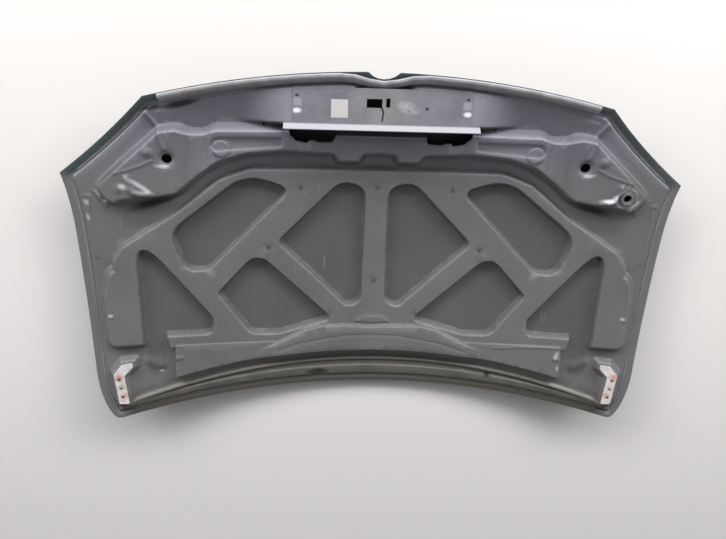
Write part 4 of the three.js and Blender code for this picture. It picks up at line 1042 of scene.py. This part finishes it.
def plate_paint():
    paint = Finish("latch_plate_paint", (0.155, 0.155, 0.180), 0.5, specular=0.3)
    paint.scale_by(paint.ramp(paint.noise(22.0, 6.0), 0.3, 0.7, 0.82, 1.15))
    paint.scale_by(paint.ramp(paint.noise(420.0, 3.0), 0.3, 0.7, 0.88, 1.12))
    for side in (1, -1):
        paint.tint((0.34, 0.34, 0.38), paint.times(paint.mark((side * 186, 815), (9, 8), 0, True), 0.5))
        # Painted highlight: a bright spot stands in for the lit face of a small emboss on the flat
        # plate.
        paint.tint((0.66, 0.66, 0.72), paint.mark((side * 188, 797), (9, 5), 0, soft=0.4))
        paint.tint((0.03, 0.03, 0.032), paint.mark((side * 187, 829), (4, 3), 0))
    patch = paint.mark((55, 808), (17, 9), -15, soft=0.7)
    patch = paint.times(patch, paint.ramp(paint.noise(90.0), 0.3, 0.6))
    paint.tint((0.55, 0.52, 0.55), patch)
    paint.tint((0.24, 0.235, 0.22), paint.times(paint.mark((10, 800), (60, 40), 0, soft=0.9), 0.5))
    paint.tint((0.012, 0.012, 0.013), paint.mark((97, 807), (3.5, 3.5)))
    paint.tint((0.012, 0.012, 0.013), paint.mark((-1.5, 803.5), (1.9, 8), 21, True))
    paint.tint((0.012, 0.012, 0.013), paint.mark((0, 787.5), (1.9, 10.5), -6, True))
    # Painted light: the ledge's upper face, which faces the lamps, is painted lighter.
    painted_ledge_light = paint.ramp(paint.height_at(), LEDGE_FOOT + 0.001, LEDGE_FOOT + 0.004)
    paint.tint((0.34, 0.34, 0.37), painted_ledge_light)
    return paint.done(paint.noise(300.0, 3.0), 0.0002, 0.3)


def bare_plate():
    paint = Finish("hinge_plate_primer", (0.60, 0.55, 0.54), 0.55, specular=0.3)
    paint.scale_by(paint.ramp(paint.noise(60.0, 6.0), 0.3, 0.7, 0.8, 1.1))
    rust = paint.ramp(paint.noise(110.0, 6.0), 0.62, 0.72)
    paint.tint((0.30, 0.12, 0.06), paint.times(rust, 0.5))
    stains = [((-637, 125), (8, 8), (0.45, 0.09, 0.09)), ((-632, 100), (8, 7), (0.20, 0.28, 0.20)),
              ((-626, 77), (9, 7), (0.52, 0.24, 0.14)), ((640, 130), (8, 9), (0.50, 0.20, 0.14)),
              ((633, 98), (5, 5), (0.30, 0.22, 0.24)), ((628, 78), (8, 7), (0.50, 0.25, 0.15))]
    for place, half, colour in stains:
        paint.tint(colour, paint.times(paint.mark(place, half, 0, soft=0.5), 0.75))
    return paint.done(paint.noise(300.0, 3.0), 0.0002, 0.3)


def seal_rubber():
    paint = Finish("seal_rubber_dusty", (0.32, 0.32, 0.34), 0.6, specular=0.35)
    paint.scale_by(paint.ramp(paint.noise(40.0, 6.0), 0.3, 0.7, 0.75, 1.12))
    worn = paint.ramp(paint.noise(14.0, 5.0, paint.stretched((1, 6, 1))), 0.52, 0.64)
    to_ends = paint.maths("SUBTRACT", 1.0, paint.mark((0, 870), (330, 60), 0, soft=0.4))
    paint.tint((0.30, 0.23, 0.20), paint.times(worn, paint.times(to_ends, 0.7)))
    return paint.done(paint.noise(500.0, 3.0), 0.0002, 0.3)


def label_paper():
    paint = Finish("label_paper", (0.47, 0.45, 0.475), 0.85, specular=0.1)
    paint.scale_by(paint.ramp(paint.noise(40.0, 6.0), 0.3, 0.7, 0.92, 1.06))
    stain = paint.mark((-95, 803), (10, 12), 0, soft=0.8)
    paint.tint((0.52, 0.50, 0.40), paint.times(stain, 0.5))
    return paint.done(paint.noise(300.0, 3.0), 0.0002, 0.3)


def simple_finish(name, colour, roughness, metallic=0.0):
    paint = Finish(name, colour, roughness, metallic)
    uneven = paint.noise(TRIM_GRAIN, 6.0)
    paint.scale_by(paint.ramp(uneven, 0.3, 0.7, 1 - TRIM_SPREAD, 1 + TRIM_SPREAD))
    return paint.done(paint.noise(4 * TRIM_GRAIN, 3.0), 0.0002, 0.3)


looks = {
    "latch_reinforcement": plate_paint(),
    "front_seal": seal_rubber(),
    "hinge_plate": bare_plate(),
    "hinge_nut": simple_finish("nut_steel", (0.22, 0.21, 0.2), 0.5, 0.8),
    "mastic": simple_finish("anti_flutter_mastic", (0.06, 0.055, 0.05), 0.85),
    "hem_sealer": simple_finish("hem_sealer", (0.20, 0.20, 0.21), 0.6),
    "label_blank": label_paper(),
    "prop_rod_socket": simple_finish("socket_plastic", (0.13, 0.13, 0.14), 0.5),
}
for name, node in nodes.items():
    for start, look in looks.items():
        if name.startswith(start):
            node.data.materials.clear()
            node.data.materials.append(look)
            break
print("finishes:", len(looks))
